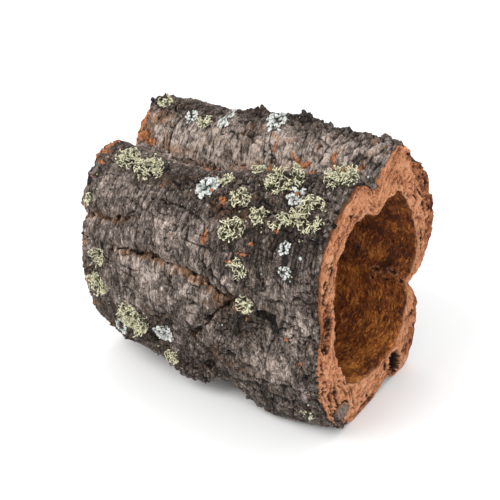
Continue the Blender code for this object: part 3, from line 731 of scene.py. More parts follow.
def weathered(x, angle):
    """The weathered outside over a grid of places: the solid's outside, moved along its normals by the
    relief, and drawn back from the sawn ends by a ragged recess. Gives the points, the normals, the
    relief and the values that colour it."""
    here = polar(x, angle, UNROLLED_RADIUS)
    lip, band, groove, shadow = near_cracks(x, angle)
    radius = outer_radius(x, angle)
    bare_end = np.where(x > 0, 1.0, patches(-HALF + 0 * x, angle, FAR_BARE))
    recess = 0.3 + 1.9 * creased(here, 4.0, 38) + 1.5 * creased(here, 1.8, 39)
    recess = np.minimum(recess, 3.3) * bare_end - 0.8 * (1 - bare_end)
    recess = np.sign(x) * recess * near_end(x, 3.2)
    drawn = angle + np.degrees(lip / UNROLLED_RADIUS)
    smooth = polar(x + end_offset(x, angle, radius), drawn, radius) + CORE
    normals = normals_of(smooth)
    bent = smooth + np.array([1.0, 0.0, 0.0]) * grain(smooth, 11, 40)[..., None]

    nearest, across = from_line(x, angle + 2.2 * grain(here, 6, 60) + 1.2 * grain(here, 2.6, 61), CAP_EDGE)
    cap = smoothstep(-across, -0.6, 0.6) * np.exp(-nearest / 12)
    crumbly = patches(x, angle, CRUMBLY) + 0.3 * grain(smooth, 12, 41) + 0.2 * grain(smooth, 5, 62) + 0.1
    crumbly = smoothstep(clipped(crumbly), 0.15, 0.85)
    striped = patches(x, angle, STRIPED)
    plate = 1 - crumbly
    combed = 0.25 + 0.75 * spots(smooth, 11, 72, -0.25, 0.25)
    bumps = creased(smooth, 4.4, 42)
    crumbs = creased(smooth, 2.2, 43)
    grit = creased(smooth, 1.3, 63)
    lines = grain(bent, (2.0, 12, 12), 44)
    fine_lines = grain(bent, (1.25, 7, 7), 45)
    slits = smoothstep(creased(bent, (2.6, 15, 15), 64), 0.0, 0.16)
    stripes = grain(smooth, (16, 2.2, 2.2), 46)
    ring_cracks = cleft(grain(bent, (6, 26, 26), 47) + 0.1 * bumps, 0.05)
    ring_cracks = ring_cracks * spots(smooth, 12, 48, -0.2, 0.2)
    long_cracks = cleft(grain(smooth, (22, 6, 6), 49) + 0.1 * crumbs, 0.055)
    long_cracks = long_cracks * spots(smooth, 13, 50, -0.1, 0.3)
    flakes = smoothstep(grain(bent, (6, 13, 13), 51) + 0.1 * grain(smooth, 1.6, 65), -0.05, 0.05) - 0.5
    scales = smoothstep(grain(smooth, (4, 6, 6), 66) + 0.12 * grain(smooth, 1.4, 67), -0.05, 0.05) - 0.5
    holes = np.zeros_like(x)
    for place, half_length, half_width, depth in HOLES:
        across_it = arc(angle, place[1], radius)
        away = np.hypot((x - place[0]) / half_length, across_it / half_width) + 0.3 * grain(here, 2.4, 68)
        holes = np.maximum(holes, depth * smoothstep(1.15 - away, 0.0, 0.35))
    uneven = 1 + 0.35 * grain(here, 2.6, 70)
    knobs = sum(
        height * smoothstep(uneven * lump(x, angle, radius, place, size, size, 1.0), 0.2, 0.75)
        for place, size, height in KNOBS
    )
    seam = cleft(x - plate_edge(angle), 0.55) * spots(here, 9, 75, -0.3, 0.3)
    plain = combed * (0.14 * lines + 0.18 * fine_lines) + 0.5 * flakes + 0.35 * scales
    plain = plain + 0.55 * crumbs + 0.35 * grit - 0.3
    relief = (
        0.5 * grain(smooth, 8, 52)
        + crumbly * (2.7 * bumps + 1.7 * crumbs + 0.8 * grit - 1.7)
        + plate * plain
        - 0.2 * plate * (1 - slits) * spots(smooth, 10, 76, -0.2, 0.3)
        + band * (0.4 * fine_lines + 0.2 * lines)
        + striped * (0.9 * stripes - 0.2)
        + knobs * (0.7 + 0.5 * bumps + 0.4 * crumbs)
        + 0.9 * cap
        - 0.9 * ring_cracks * (1 - 0.5 * crumbly)
        - 1.1 * long_cracks
        - 1.9 * groove
        - 0.8 * holes
        - 0.9 * seam
    )
    chips = patches(x, angle, CHIPS)
    for points, half_width in PEELED_EDGES:
        nearest, _ = from_line(x, angle + 1.2 * grain(here, 4.0, 93), points)
        chips = np.maximum(chips, cleft(nearest, half_width))
    bare = smoothstep(chips + 0.3 * grain(smooth, 2.6, 53) + 0.25 * grain(smooth, 1.2, 54), 0.42, 0.6)
    relief = relief * (1 - 0.5 * bare) + bare * (1.5 * crumbs + 0.9 * grit - 0.9)
    relief = np.maximum(relief, -2.6) - bites(x, angle)
    for place, half_length, half_width, depth in NOTCHES:
        relief = relief - lump(x, angle, radius, place, half_length, half_width, depth)
    points = smooth + normals * relief[..., None]
    points[..., 0] -= recess
    points = above(points)

    # Painted shade: darker in the relief's dents, in the holes, in the cracks' shadows and round the edges
    # of the bare patches.
    dent_shade = 0.5 * (relief - softened(relief, 20)) + 0.6 * (relief - softened(relief, 4))
    cavity_shade = clipped(0.55 + 0.72 * dent_shade) * (1 - 0.7 * clipped(holes))
    cavity_shade = cavity_shade * (1 - 0.8 * clipped(shadow)) * (1 - 1.6 * bare * (1 - bare))
    # The pale value is lowered in the cracks and along the slits as painted shade.
    pale = (
        0.48
        + 0.29 * patches(x, angle, PALE) * (1 - 0.4 * crumbly)
        - 0.30 * patches(x, angle, DARK)
        + 0.10 * grain(smooth, 22, 55)
        + 0.09 * grain(smooth, 7, 56)
        + (0.04 * lines + 0.06 * fine_lines) * (combed * plate + band)
        + 0.12 * (flakes + scales) * plate
        - 0.10 * (1 - slits) * plate
        - 0.16 * (ring_cracks + long_cracks)
        + 0.14 * stripes * striped
        - 0.10 * cap
        + 0.5 * band * smoothstep(fine_lines + 0.4 * lines, -0.2, 0.5) - 0.05 * band
    )
    mottled = 0.3 * grain(smooth, 3.0, 69) + 0.2 * grain(smooth, 1.4, 71)
    torn = band * (1 + 0.8 * grain(here, (7.0, 30.0, 30.0), 79))
    warm = clipped(
        0.75 * smoothstep(patches(x, angle, WARM) + mottled, 0.25, 1.0)
        + 0.45 * smoothstep(grain(smooth, 8, 57) + mottled, 0.35, 0.8)
        + 0.95 * smoothstep(torn + 0.5 * mottled, 0.08, 1.0)
        + 0.5 * spots(smooth, (5, 3, 3), 58, 0.35, 0.6) * crumbly,
    )
    return {
        "x": x, "angle": angle, "points": points, "normals": normals_of(points), "relief": relief,
        "crumbly": crumbly, "band": band,
        "marks": np.stack([clipped(pale), warm, cavity_shade, bare], axis=-1),
    }


@functools.cache
def crust(side):
    """The fine outside on one side of the plate edge, as rings from that edge to the sawn end."""
    angle = ring_angles()
    start = plate_edge(angle)
    share = np.linspace(0.0, 1.0, CRUST_RINGS)[:, None]
    return weathered(start + (side * HALF - start) * share, angle + 0 * share)


@functools.cache
def both_crusts():
    """The values of both parts of the crust, each as one list of points."""
    parts = (crust(-1), crust(1))
    joined = {}
    for key, array in parts[0].items():
        tail = array.shape[2:]
        joined[key] = np.concatenate([part[key].reshape(-1, *tail) for part in parts])
    return joined


@functools.cache
def reach_grid():
    """Radius of the fine outside over an even grid of x and angle."""
    x = np.linspace(-HALF, HALF, GRID_ROWS)[:, None]
    angle = np.arange(round(360 / GRID_STEP)) * GRID_STEP
    points = weathered(x + 0 * angle, angle + 0 * x)["points"] - CORE
    return np.hypot(points[..., 1], points[..., 2])


def bark_radius(x, angle):
    """Radius of the fine outside at a place, read between the nearest four places of its even grid."""
    reach = reach_grid()
    row = clipped((x + HALF) / (2 * HALF)) * (reach.shape[0] - 1)
    column = np.mod(angle, 360.0) / GRID_STEP
    r, c = np.floor(row).astype(int), np.floor(column).astype(int)
    u, v = row - r, column - c
    r2, c1, c2 = np.minimum(r + 1, reach.shape[0] - 1), c % reach.shape[1], (c + 1) % reach.shape[1]
    low = reach[r, c1] * (1 - u) + reach[r2, c1] * u
    high = reach[r, c2] * (1 - u) + reach[r2, c2] * u
    return low * (1 - v) + high * v


def crust_depth(x, angle):
    """How deep the cork lies under the outside: thin at the sawn ends and CRUST further in. Round the
    near end it is thicker in some places, by thickness times exp(-(turn / half width)^2)."""
    rim = CRUST_RIM + 0 * angle
    for at, half_width, thickness in THICK_RIM:
        rim = rim + (x > 0) * thickness * np.exp(-((turned(angle, at) / half_width) ** 2))
    return rim + (CRUST - rim) * smoothstep(HALF - np.abs(x), 0.0, 9.0)


def under_crust(x, side, deeper):
    """A ring at the depth of the cork under the outside, or a little deeper. Near a sawn end it follows
    the relief of the rim. x is one number or one for each angle, and side says which end is near."""
    angle = ring_angles()
    x = x + 0 * angle
    rim = near_end(x, 3.0) * crust(side)["relief"][-1]
    radius = outer_radius(x, angle) + rim - crust_depth(x, angle) - deeper
    points = polar(x + end_offset(x, angle, radius), angle, radius) + CORE
    return above(points, CORK_FLOOR + 0.25 * deeper)


def scallops(x, angle):
    """Fine teeth of the hollow's edge at the sawn ends: noise, finer creased noise and rounded bites."""
    ring = polar(x, angle, HOLLOW_RADIUS)
    teeth = 1.2 * grain(ring, 3.4, 88) + 1.3 * creased(ring, 1.7, 89)
    return (teeth + 0.9 * spots(ring, 7.0, 91, 0.2, 0.6)) * near_end(x, 2.0)


def face_marks(angle, radius):
    """Depth, darkness and redness of the marks on the near face. A mark is a rounded patch with
    half lengths along the outline and across it. A slit is a groove along a line of radii and angles,
    and noise breaks it up unless it is deep."""
    depth, dark, red = (np.zeros_like(radius) for _ in range(3))
    here = polar(0 * angle, angle, radius)
    ragged = 0.35 * grain(here, 2.0, 73) + 0.2 * grain(here, 1.1, 74)
    for at, r, half_length, half_width, deep, darkness, redness in FACE_MARKS:
        away = np.hypot(arc(angle, at, r) / half_length, (radius - r) / half_width) + ragged
        inside = smoothstep(1.25 - away, 0.0, 0.5)
        depth = np.maximum(depth, deep * inside)
        # A mark's darkness is partly painted shade in its dent and partly its own darker colour.
        dark = np.maximum(dark, darkness * smoothstep(1.25 - away, 0.0, 0.2))
        red = np.maximum(red, redness * smoothstep(1.7 - away, 0.0, 0.6))
    wander = 1.3 * grain(here, 5.0, 96) + 0.6 * grain(here, 2.0, 97)
    uneven = 1 + 0.6 * grain(here, 2.6, 98)
    broken = spots(here, 4.5, 99, -0.4, 0.15)
    for points, half_width, deep in FACE_SLITS:
        nearest, _ = from_line(radius + wander, angle, points)
        whole = smoothstep(np.float64(deep), 2.2, 3.2)
        gap = cleft(nearest, half_width * uneven) * np.maximum(broken, whole)
        depth = np.maximum(depth, deep * gap)
        # The slits are darkened with painted shade.
        dark = np.maximum(dark, (0.75 + 0.25 * whole) * gap)
    return depth, dark, red


def red_layer(angle, radius):
    """Strength of the older red layer on the near face: the strongest of some patches, each its
    strength times exp(-(along the outline / half length)^2 - (across it / half width)^2)."""
    most = np.zeros_like(radius)
    for at, r, half_length, half_width, strength in RED_LAYER:
        away = (arc(angle, at, r) / half_length) ** 2 + ((radius - r) / half_width) ** 2
        most = np.maximum(most, strength * np.exp(-away))
    return most


def foot_bark(turn, radius, deep, seed):
    """The outer bark that shows on the near face's foot: the knob, the gap round it and the rind."""
    here = polar(0 * turn, turn, radius)
    at, r, half_length, half_width = KNOB
    away = np.hypot(arc(turn, at, r) / half_length, (radius - r) / half_width)
    away = away + 0.12 * grain(here, 2.4, seed + 14)
    gap = cleft(away - 1.15, 0.13) * (0.4 + 0.6 * spots(here, 4.0, seed + 20, -0.5, 0.2))
    at, half_turn, thick = RIND
    rind = smoothstep(thick + 1.2 * grain(here, 2.4, seed + 21) - deep, 0.0, 0.8)
    rind = rind * smoothstep(half_turn - np.abs(turned(turn, at)), 0.0, 2.5)
    return smoothstep(1.1 - away, 0.0, 0.25), gap, rind


def sawn_face(side, count):
    """Rings of a sawn end from the crust's edge to the hollow's edge, with values that colour them.
    Splits follow the outline, where noise stretched round the tube passes 0. Only the near face has
    the marks, the older layer by its places, and the outer bark in its foot."""
    angle = ring_angles()
    outer = under_crust(side * HALF, side, 0.0)
    outer_r = np.hypot(outer[:, 1] - CORE[1], outer[:, 2] - CORE[2])
    x = np.full(SEGMENTS, side * HALF)
    inner_r = inner_radius(x, angle) + hollow_relief(x, angle) + scallops(x, angle)
    share = np.linspace(0.0, 1.0, count)[:, None]
    radius = outer_r * (1 - share) + inner_r * share
    turn = angle + 0 * share
    deep = outer_r - radius
    flat = polar(deep, turn, UNROLLED_RADIUS)
    here = polar(0 * turn, turn, radius)
    seed = NEAR_FACE_SEED if side > 0 else FAR_FACE_SEED
    layers = grain(flat + 0.8 * grain(here, 6, seed)[..., None], (2.3, 12, 12), seed + 1)
    fine_layers = grain(flat, (1.3, 5, 5), seed + 2)
    splits = cleft(layers, 0.07) * spots(flat, (9, 12, 12), seed + 3, -0.05, 0.3)
    pores = spots(here, 1.5, seed + 4, 0.5, 0.7)
    pores = pores * spots(here, 8, seed + 5, -0.1, 0.4)
    if side > 0:
        depth, dark, red = face_marks(turn, radius)
        older = red_layer(turn, radius)
        knob, gap, rind = foot_bark(turn, radius, deep, seed)
        # The gap round the knob is darkened with painted shade; the rind is dark bark.
        dark = np.maximum(dark, np.maximum(0.9 * gap, 0.55 * rind))
        depth = np.maximum(depth, 1.4 * gap)
    else:
        depth, dark, red, knob, rind = (np.zeros_like(radius) for _ in range(5))
        older = 0.6 * spots(here, 14, seed + 6, 0.0, 0.5)
    older = older + 0.16 * grain(here, 4, seed + 7) + 0.12 * grain(here, 1.8, seed + 8)
    older = smoothstep(older, 0.22, 0.5)
    seam = cleft(older - 0.5, 0.3) * spots(here, 6, seed + 18, -0.3, 0.2)
    inside = np.sin(np.pi * share)
    middle = end_shift(turn, (outer_r + inner_r) / 2 + 0 * share, side) + END_SWELL * inside
    ridged = (side > 0) * np.exp(-((turned(turn, 222) / 17) ** 2))
    rough = 0.5 * grain(here, 3.4, seed + 9) + 0.4 * grain(here, 1.7, seed + 10)
    rough = rough + 0.3 * grain(here, 1.0, seed + 11)
    lumps = 2.4 * creased(flat, (3.0, 7.0, 7.0), seed + 12) + 1.3 * creased(here, 1.9, seed + 13) - 1.2
    fade = smoothstep(share, 0.0, 0.05) * smoothstep(1 - share, 0.0, 0.05)
    out = middle + rough * (0.35 + 0.65 * fade) + fade * older * (1.2 * lumps - 0.7)
    layered = (0.45 + 1.2 * ridged) * layers + (0.35 + 0.5 * ridged) * fine_layers
    out = out + fade * (layered - 1.3 * splits - 0.8 * pores - 0.6 * seam - depth)
    out = out + knob * (0.7 + 0.6 * grain(here, 2.0, seed + 15))
    points = above(polar(side * (HALF + out), turn, radius) + CORE, CORK_FLOOR)
    # Painted shade in the face's hollows, splits, pores and seams; the tone falls in the hollows too.
    hollows = softened(out, 10) - out
    shade = np.maximum(dark, 0.8 * np.maximum(splits, np.maximum(0.7 * pores, 0.7 * seam)))
    shade = clipped(shade + 0.6 * np.maximum(hollows, 0.0))
    broad = 0.3 * grain(here, 5, seed + 16) + 0.3 * grain(here, 10, seed + 19)
    tone = 0.5 + 0.3 * layers + 0.25 * fine_layers + broad + 0.25 * rough - 0.45 * hollows
    red = clipped(red + 0.85 * older + 0.3 * spots(here, 11, seed + 17, 0.1, 0.55))
    marks = np.stack([clipped(tone), red, 1 - shade, np.maximum(knob, rind)], axis=-1)
    return points, marks, share + 0 * turn


def knot_rises(x, angle):
    """Height and pit of the knots in the hollow: each rises with exp(-d) round a pit of exp(-4.8 d),
    where d is the square of the distance in half sizes, made uneven by noise."""
    here = polar(x, angle, HOLLOW_RADIUS)
    rise, pit = 0 * x, 0 * x
    for px, pa, half_length, half_width, height in KNOTS:
        across = arc(angle, pa, HOLLOW_RADIUS)
        d = ((x - px) / half_length) ** 2 + (across / half_width) ** 2 + 0.7 * grain(here, 2.4, 86)
        d = np.maximum(d, 0.0)
        rise = rise + height * np.exp(-d)
        pit = np.maximum(pit, height * np.exp(-4.8 * d))
    return rise, pit


def hollow_relief(x, angle):
    """Relief of the hollow's side: wavy fibres that run round the tube, low waves and knots."""
    here = polar(x, angle, HOLLOW_RADIUS)
    bent = here + np.array([3.2, 0.0, 0.0]) * grain(here, 12, 80)[..., None]
    fibres = 0.5 * grain(bent, (2.8, 10, 10), 81) + 0.3 * grain(bent, (1.9, 5, 5), 82)
    slots = smoothstep(creased(bent, (3.4, 12, 12), 85), 0.0, 0.2)
    waves = 0.7 * grain(here, 7.0, 83) + 0.4 * grain(here, 3.2, 84)
    rise, pit = knot_rises(x, angle)
    return np.clip(fibres - 0.35 * slots + waves - rise + 1.7 * pit, -3.6, 1.6)


# Meshes.


def loft_faces(rings, segments, closed):
    """Quads between neighbouring rings of a grid, the last joined to the first if it is closed."""
    ring = np.arange(rings if closed else rings - 1)[:, None]
    k = np.arange(segments)[None, :]
    k_next = (k + 1) % segments
    following = (ring + 1) % rings
    here, there = ring * segments, following * segments
    corners = (here + k, here + k_next, there + k_next, there + k)
    return np.stack(np.broadcast_arrays(*corners), axis=-1).reshape(-1, 4)


def capped_faces(rings, sides):
    """Faces of rings joined by quads, with a fan of triangles to a point at each end. The points of
    the first and the last fan come after all the rings."""
    k = np.arange(sides)
    k_next = (k + 1) % sides
    tip, last = rings * sides, (rings - 1) * sides
    start = np.stack([np.full(sides, tip), k_next, k], axis=-1)
    end = np.stack([np.full(sides, tip + 1), last + k, last + k_next], axis=-1)
    return [loft_faces(rings, sides, False), np.concatenate([start, end])]


def grid_faces(rows, columns):
    """Faces of a flat grid of points, and the points' numbers in rows and columns."""
    index = np.arange(rows * columns).reshape(rows, columns)
    corners = [index[:-1, :-1], index[1:, :-1], index[1:, 1:], index[:-1, 1:]]
    return np.stack(corners, axis=-1).reshape(-1, 4), index


def repeated(groups, count, size):
    """Groups of faces of a shape with so many points, repeated for each of its copies."""
    offset = np.arange(count)[:, None, None] * size
    return [(faces + offset).reshape(-1, faces.shape[-1]) for faces in groups]


def volume(points, faces):
    """Signed volume of a closed shape, the sum of the tetrahedra from the origin to fans of its faces."""
    total = 0.0
    for k in range(1, faces.shape[1] - 1):
        a, b, c = points[faces[:, 0]], points[faces[:, k]], points[faces[:, k + 1]]
        total += (a * np.cross(b, c)).sum() / 6
    return total


def facing_out(points, groups):
    """The faces, turned round if the closed shape is inside out."""
    total = sum(volume(points, faces) for faces in groups)
    return [faces[:, ::-1] if total < 0 else faces for faces in groups]


def in_scene(name, data):
    """A new object in the scene."""
    made = bpy.data.objects.new(name, data)
    bpy.context.scene.collection.objects.link(made)
    return made


def add_piece(name, points, groups, material, slot, stands_for, **values):
    """A mesh from points in mm and groups of equal-sided faces. It gets its material and the values
    that colour it, rides on the part and may stand for nodes of it."""
    mesh = bpy.data.meshes.new(name)
    points = points.reshape(-1, 3)
    faces = [face for group in facing_out(points, groups) for face in group.tolist()]
    mesh.from_pydata((points * MM).tolist(), [], faces)
    for key, array in values.items():
        kind, field = ("FLOAT_COLOR", "color") if array.shape[-1] == 4 else ("FLOAT", "value")
        layer = mesh.attributes.new(key, kind, "POINT")
        layer.data.foreach_set(field, array.astype(np.float32).ravel())
    mesh.materials.append(material)
    mesh.shade_smooth()
    piece = in_scene(name, mesh)
    if mesh.validate():
        raise RuntimeError(f"{name} has faces that Blender can't use")
    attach(piece, BODY)
    if stands_for:
        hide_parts(*stands_for)


def swept(paths, radii, sides, flat, turn):
    """Closed strands. Round each knot stands a flattened ring, centre + radius (cos t side + flat sin t
    lift), where side and lift stand square to the path, and each end is a point. paths is (strand,
    knot, 3), and turn is one reference direction for each strand."""
    count, knots = radii.shape
    ahead = unit(np.gradient(paths, axis=1))
    mean = unit(paths[:, -1] - paths[:, 0])
    reference = unit(np.cross(mean, turn))
    side = unit(np.cross(ahead, reference[:, None]))
    lift = np.cross(side, ahead)
    t = np.arange(sides) * 2 * np.pi / sides
    ring = np.cos(t)[:, None] * side[:, :, None] + flat * np.sin(t)[:, None] * lift[:, :, None]
    rings = paths[:, :, None] + radii[..., None, None] * ring
    first = paths[:, :1] - ahead[:, :1] * radii[:, :1, None]
    last = paths[:, -1:] + ahead[:, -1:] * radii[:, -1:, None]
    points = np.concatenate([rings.reshape(count, -1, 3), first, last], axis=1)
    size = knots * sides + 2
    return points.reshape(-1, 3), repeated(capped_faces(knots, sides), count, size), size


def leaves(base, heading, length, width, lift, curl, seeds, thick):
    """Thin closed leaves that lie on the bark. A leaf is a grid of across (-1 to 1) by along (0 to 1);
    its half width swells as along^0.6 and is notched at the tip, and its edges and tip curl up with
    across^2 and along^2. Under it lies the same grid, one thickness lower."""
    b = np.linspace(0.0, 1.0, LEAF_POINTS)[None, :, None]
    a = np.linspace(-1.0, 1.0, LEAF_POINTS)[None, None, :]
    count = len(heading)
    shape = (count, LEAF_POINTS, LEAF_POINTS)
    values = (heading, length, width, lift, curl, seeds)
    heading, length, width, lift, curl, seeds = (value[:, None, None] for value in values)
    notch = 1 - 0.22 * b**3 * (1 - np.cos(2.5 * np.pi * a + seeds)) / 2
    half = width * (0.25 + 0.75 * b**0.6) * (1 - 0.25 * b**4)
    reach = length * b * notch * (1 - 0.25 * a**2 * b)
    sideways = a * half + 0.12 * width * np.sin(5 * b + seeds)
    u = base[:, 0, None, None] + reach * np.cos(heading) - sideways * np.sin(heading)
    v = base[:, 1, None, None] + reach * np.sin(heading) + sideways * np.cos(heading)
    ruffle = 0.28 * np.sin(6 * a + 5 * b + seeds) * b * width
    height = lift + curl * (0.55 * a**2 * b + 0.5 * b**2) * width + ruffle
    edge = np.maximum(np.abs(a), np.abs(2 * b - 1) ** 2)
    thin = thick * (1 - 0.6 * edge**4)
    x = u + 0 * height
    angle = np.degrees((v + 0 * height) / UNROLLED_RADIUS)
    radius = bark_radius(x, angle)
    height = np.broadcast_to(height, shape)
    top = in_place(x, angle, radius + np.maximum(height, 0.15) + thin)
    under = in_place(x, angle, radius + np.maximum(height, 0.15) - 0.1)
    cell, index = grid_faces(LEAF_POINTS, LEAF_POINTS)
    size = index.size
    border = np.concatenate([index[0, :-1], index[:-1, -1], index[-1, :0:-1], index[:0:-1, 0]])
    following = np.roll(border, -1)
    wall = np.stack([border, following, following + size, border + size], axis=-1)
    faces = np.concatenate([cell, cell[:, ::-1] + size, wall])
    points = np.stack([top.reshape(count, size, 3), under.reshape(count, size, 3)], axis=1)
    tip = np.broadcast_to(b + 0.25 * a**2, shape).reshape(count, 1, size)
    # The undersides take less of the tip value, which darkens them: painted shade under the lobes.
    tip = np.concatenate([tip, 0.4 * tip], axis=1).reshape(-1)
    return points.reshape(-1, 3), repeated([faces], count, 2 * size), tip


def blobs(index, sizes, flat, draw, lift=0.0):
    """Small lumps of 24 faces at points of the fine outside: a sphere of 3 rings by 6, its radius
    changed at random from point to point, flattened along the normal, turned at random and lifted."""
    normals = both_crusts()["normals"][index]
    centres = both_crusts()["points"][index] + lift * normals
    count = len(index)
    down = np.radians([40, 88, 136])[:, None]
    turn = np.arange(6) * np.pi / 3
    ball = (np.sin(down) * np.cos(turn), np.sin(down) * np.sin(turn), np.cos(down))
    ball = np.stack(np.broadcast_arrays(*ball), axis=-1).reshape(-1, 3)
    ball = np.concatenate([ball, [[0, 0, 1.0], [0, 0, -1.0]]])
    uneven = draw.uniform(0.62, 1.25, (count, len(ball), 1))
    stretch = [draw.uniform(0.7, 1.5, count), draw.uniform(0.7, 1.1, count)]
    stretch = np.stack([*stretch, flat * draw.uniform(0.7, 1.3, count)], axis=-1)
    local = ball * uneven * stretch[:, None] * sizes[:, None, None]
    spin = unit(np.cross(normals, draw.normal(size=(count, 3))))
    other = np.cross(normals, spin)
    points = centres[:, None] + local[..., :1] * spin[:, None] + local[..., 1:2] * other[:, None]
    points = above(points + local[..., 2:] * normals[:, None])
    return points.reshape(-1, 3), repeated(capped_faces(3, 6), count, len(ball)), len(ball)


def two_values(first, second):
    """Colour values of which only the first two are used."""
    return np.stack([first, second, 0 * first, 0 * first], axis=-1)


def scattered(draw, weight, count):
    """Random points of the fine outside, picked in proportion to a weight: their indices."""
    chance = weight.ravel() / weight.sum()
    return draw.choice(chance.size, count, replace=False, p=chance)


# Materials.


class Shades:
    """A material and short ways to add and join its nodes."""

    def __init__(self, name, roughness):
        self.material = bpy.data.materials.new(name)
        self.material.use_nodes = True
        self.nodes = self.material.node_tree.nodes
        self.links = self.material.node_tree.links
        self.shader = self.nodes["Principled BSDF"]
        self.shader.inputs["Roughness"].default_value = roughness
        self.shader.inputs["Specular IOR Level"].default_value = 0.25
        self.object = self.nodes.new("ShaderNodeTexCoord").outputs["Object"]

    def put(self, socket, value):
        """Joins a socket to another, or sets its value."""
        if isinstance(value, bpy.types.NodeSocket):
            self.links.new(value, socket)
        else:
            socket.default_value = value

    def node(self, kind, inputs, **settings):
        """A new node with its inputs set or joined."""
        made = self.nodes.new("ShaderNode" + kind)
        for key, value in settings.items():
            setattr(made, key, value)
        for key, value in inputs.items():
            self.put(made.inputs[key], value)
        return made

    def math(self, operation, *inputs):
        """The result of one Math node."""
        return self.node("Math", dict(enumerate(inputs)), operation=operation).outputs[0]

    def scaled(self, where, size):
        """Coordinates divided by a size in mm, one number or one for each axis."""
        sizes = size if isinstance(size, tuple) else (size, size, size)
        scale = tuple(1 / (one * MM) for one in sizes)
        return self.node("Mapping", {"Vector": where, "Scale": scale}).outputs[0]

    def bent(self, size, amount):
        """Object coordinates pushed about by noise of a size, by up to about half the amount, in mm."""
        place = self.scaled(self.object, size)
        wave = self.node("TexNoise", {"Vector": place, "Scale": 1.0, "Detail": 2.0}).outputs["Color"]
        push = self.node("VectorMath", {0: wave, 1: (-0.5, -0.5, -0.5)}, operation="ADD").outputs[0]
        inputs = {0: push, 1: (amount * MM,) * 3, 2: self.object}
        return self.node("VectorMath", inputs, operation="MULTIPLY_ADD").outputs[0]

    def noise(self, size, detail=3.0, rough=0.6, where=None):
        """Noise from about -1 to 1 whose marks have the given size in mm, one number or one for each
        axis, at the object's coordinates or bent ones."""
        place = self.scaled(where or self.object, size)
        made = self.node("TexNoise", {"Vector": place, "Scale": 1.0, "Detail": detail, "Roughness": rough})
        return self.math("MULTIPLY_ADD", made.outputs[0], 4.0, -2.0)

    def net(self, size, wide, where):
        """A net of fine cracks between cells: 0 at the cells' edges and 1 inside, and a random value
        for each cell, from 0 to 1."""
        cells = {"Vector": self.scaled(where, size), "Scale": 1.0}
        edge = self.node("TexVoronoi", cells, feature="DISTANCE_TO_EDGE").outputs["Distance"]
        cell = self.node("TexVoronoi", cells, feature="F1").outputs["Color"]
        return self.spread(edge, 0.0, wide), self.node("SeparateColor", {"Color": cell}).outputs[0]

    def sum(self, *terms):
        """The sum of products, each given as a value and its factor, or of plain numbers."""
        total = 0.0
        for term in terms:
            if isinstance(term, tuple):
                total = self.math("MULTIPLY_ADD", *term, total)
            else:
                total = self.math("ADD", total, term)
        return total

    def size_of(self, value):
        """A value without its sign."""
        return self.math("ABSOLUTE", value)

    def times(self, first, second):
        """The product of two values."""
        return self.math("MULTIPLY", first, second)

    def spread(self, value, low, high, to_low=0.0, to_high=1.0):
        """A value spread from one range to another, with its ends eased and cut off."""
        inputs = {"Value": value, "From Min": low, "From Max": high, "To Min": to_low, "To Max": to_high}
        return self.node("MapRange", inputs, interpolation_type="SMOOTHSTEP").outputs[0]

    def ramp(self, value, *stops):
        """Colours along a value: stops of (place, colour), or of (place, colour, factor), in order."""
        made = self.node("ValToRGB", {"Fac": value})
        band = made.color_ramp.elements
        for stop in stops[2:]:
            band.new(stop[0])
        for stop, (place, colour, *factor) in zip(band, stops):
            stop.position = place
            stop.color = (*tinted(colour, *factor), 1.0)
        return made.outputs[0]

    def mix(self, share, first, second, way="MIX"):
        """Two colours blended."""
        made = self.nodes.new("ShaderNodeMix")
        made.data_type = "RGBA"
        made.blend_type = way
        for key, value in ((0, share), (6, first), (7, second)):
            self.put(made.inputs[key], (*value, 1.0) if isinstance(value, tuple) else value)
        return made.outputs[2]

    def values(self, name):
        """The channels of an attribute of the piece."""
        attribute = self.node("Attribute", {}, attribute_name=name)
        split = self.node("SeparateColor", {"Color": attribute.outputs["Color"]})
        return (*split.outputs, attribute.outputs["Alpha"])

    def finish(self, colour, height=None, depth=0.5, roughness=None):
        """Joins the colour and the bump, whose full height is given in mm."""
        self.put(self.shader.inputs["Base Color"], colour)
        if height is not None:
            bump = self.node("Bump", {"Height": height, "Distance": depth * MM, "Strength": 1.0})
            self.put(self.shader.inputs["Normal"], bump.outputs[0])
        if roughness is not None:
            self.put(self.shader.inputs["Roughness"], roughness)
        return self.material


def tinted(colour, factor=1.0):
    """A colour, made darker or lighter by a factor."""
    return tuple(min(1.0, channel * factor) for channel in colour)


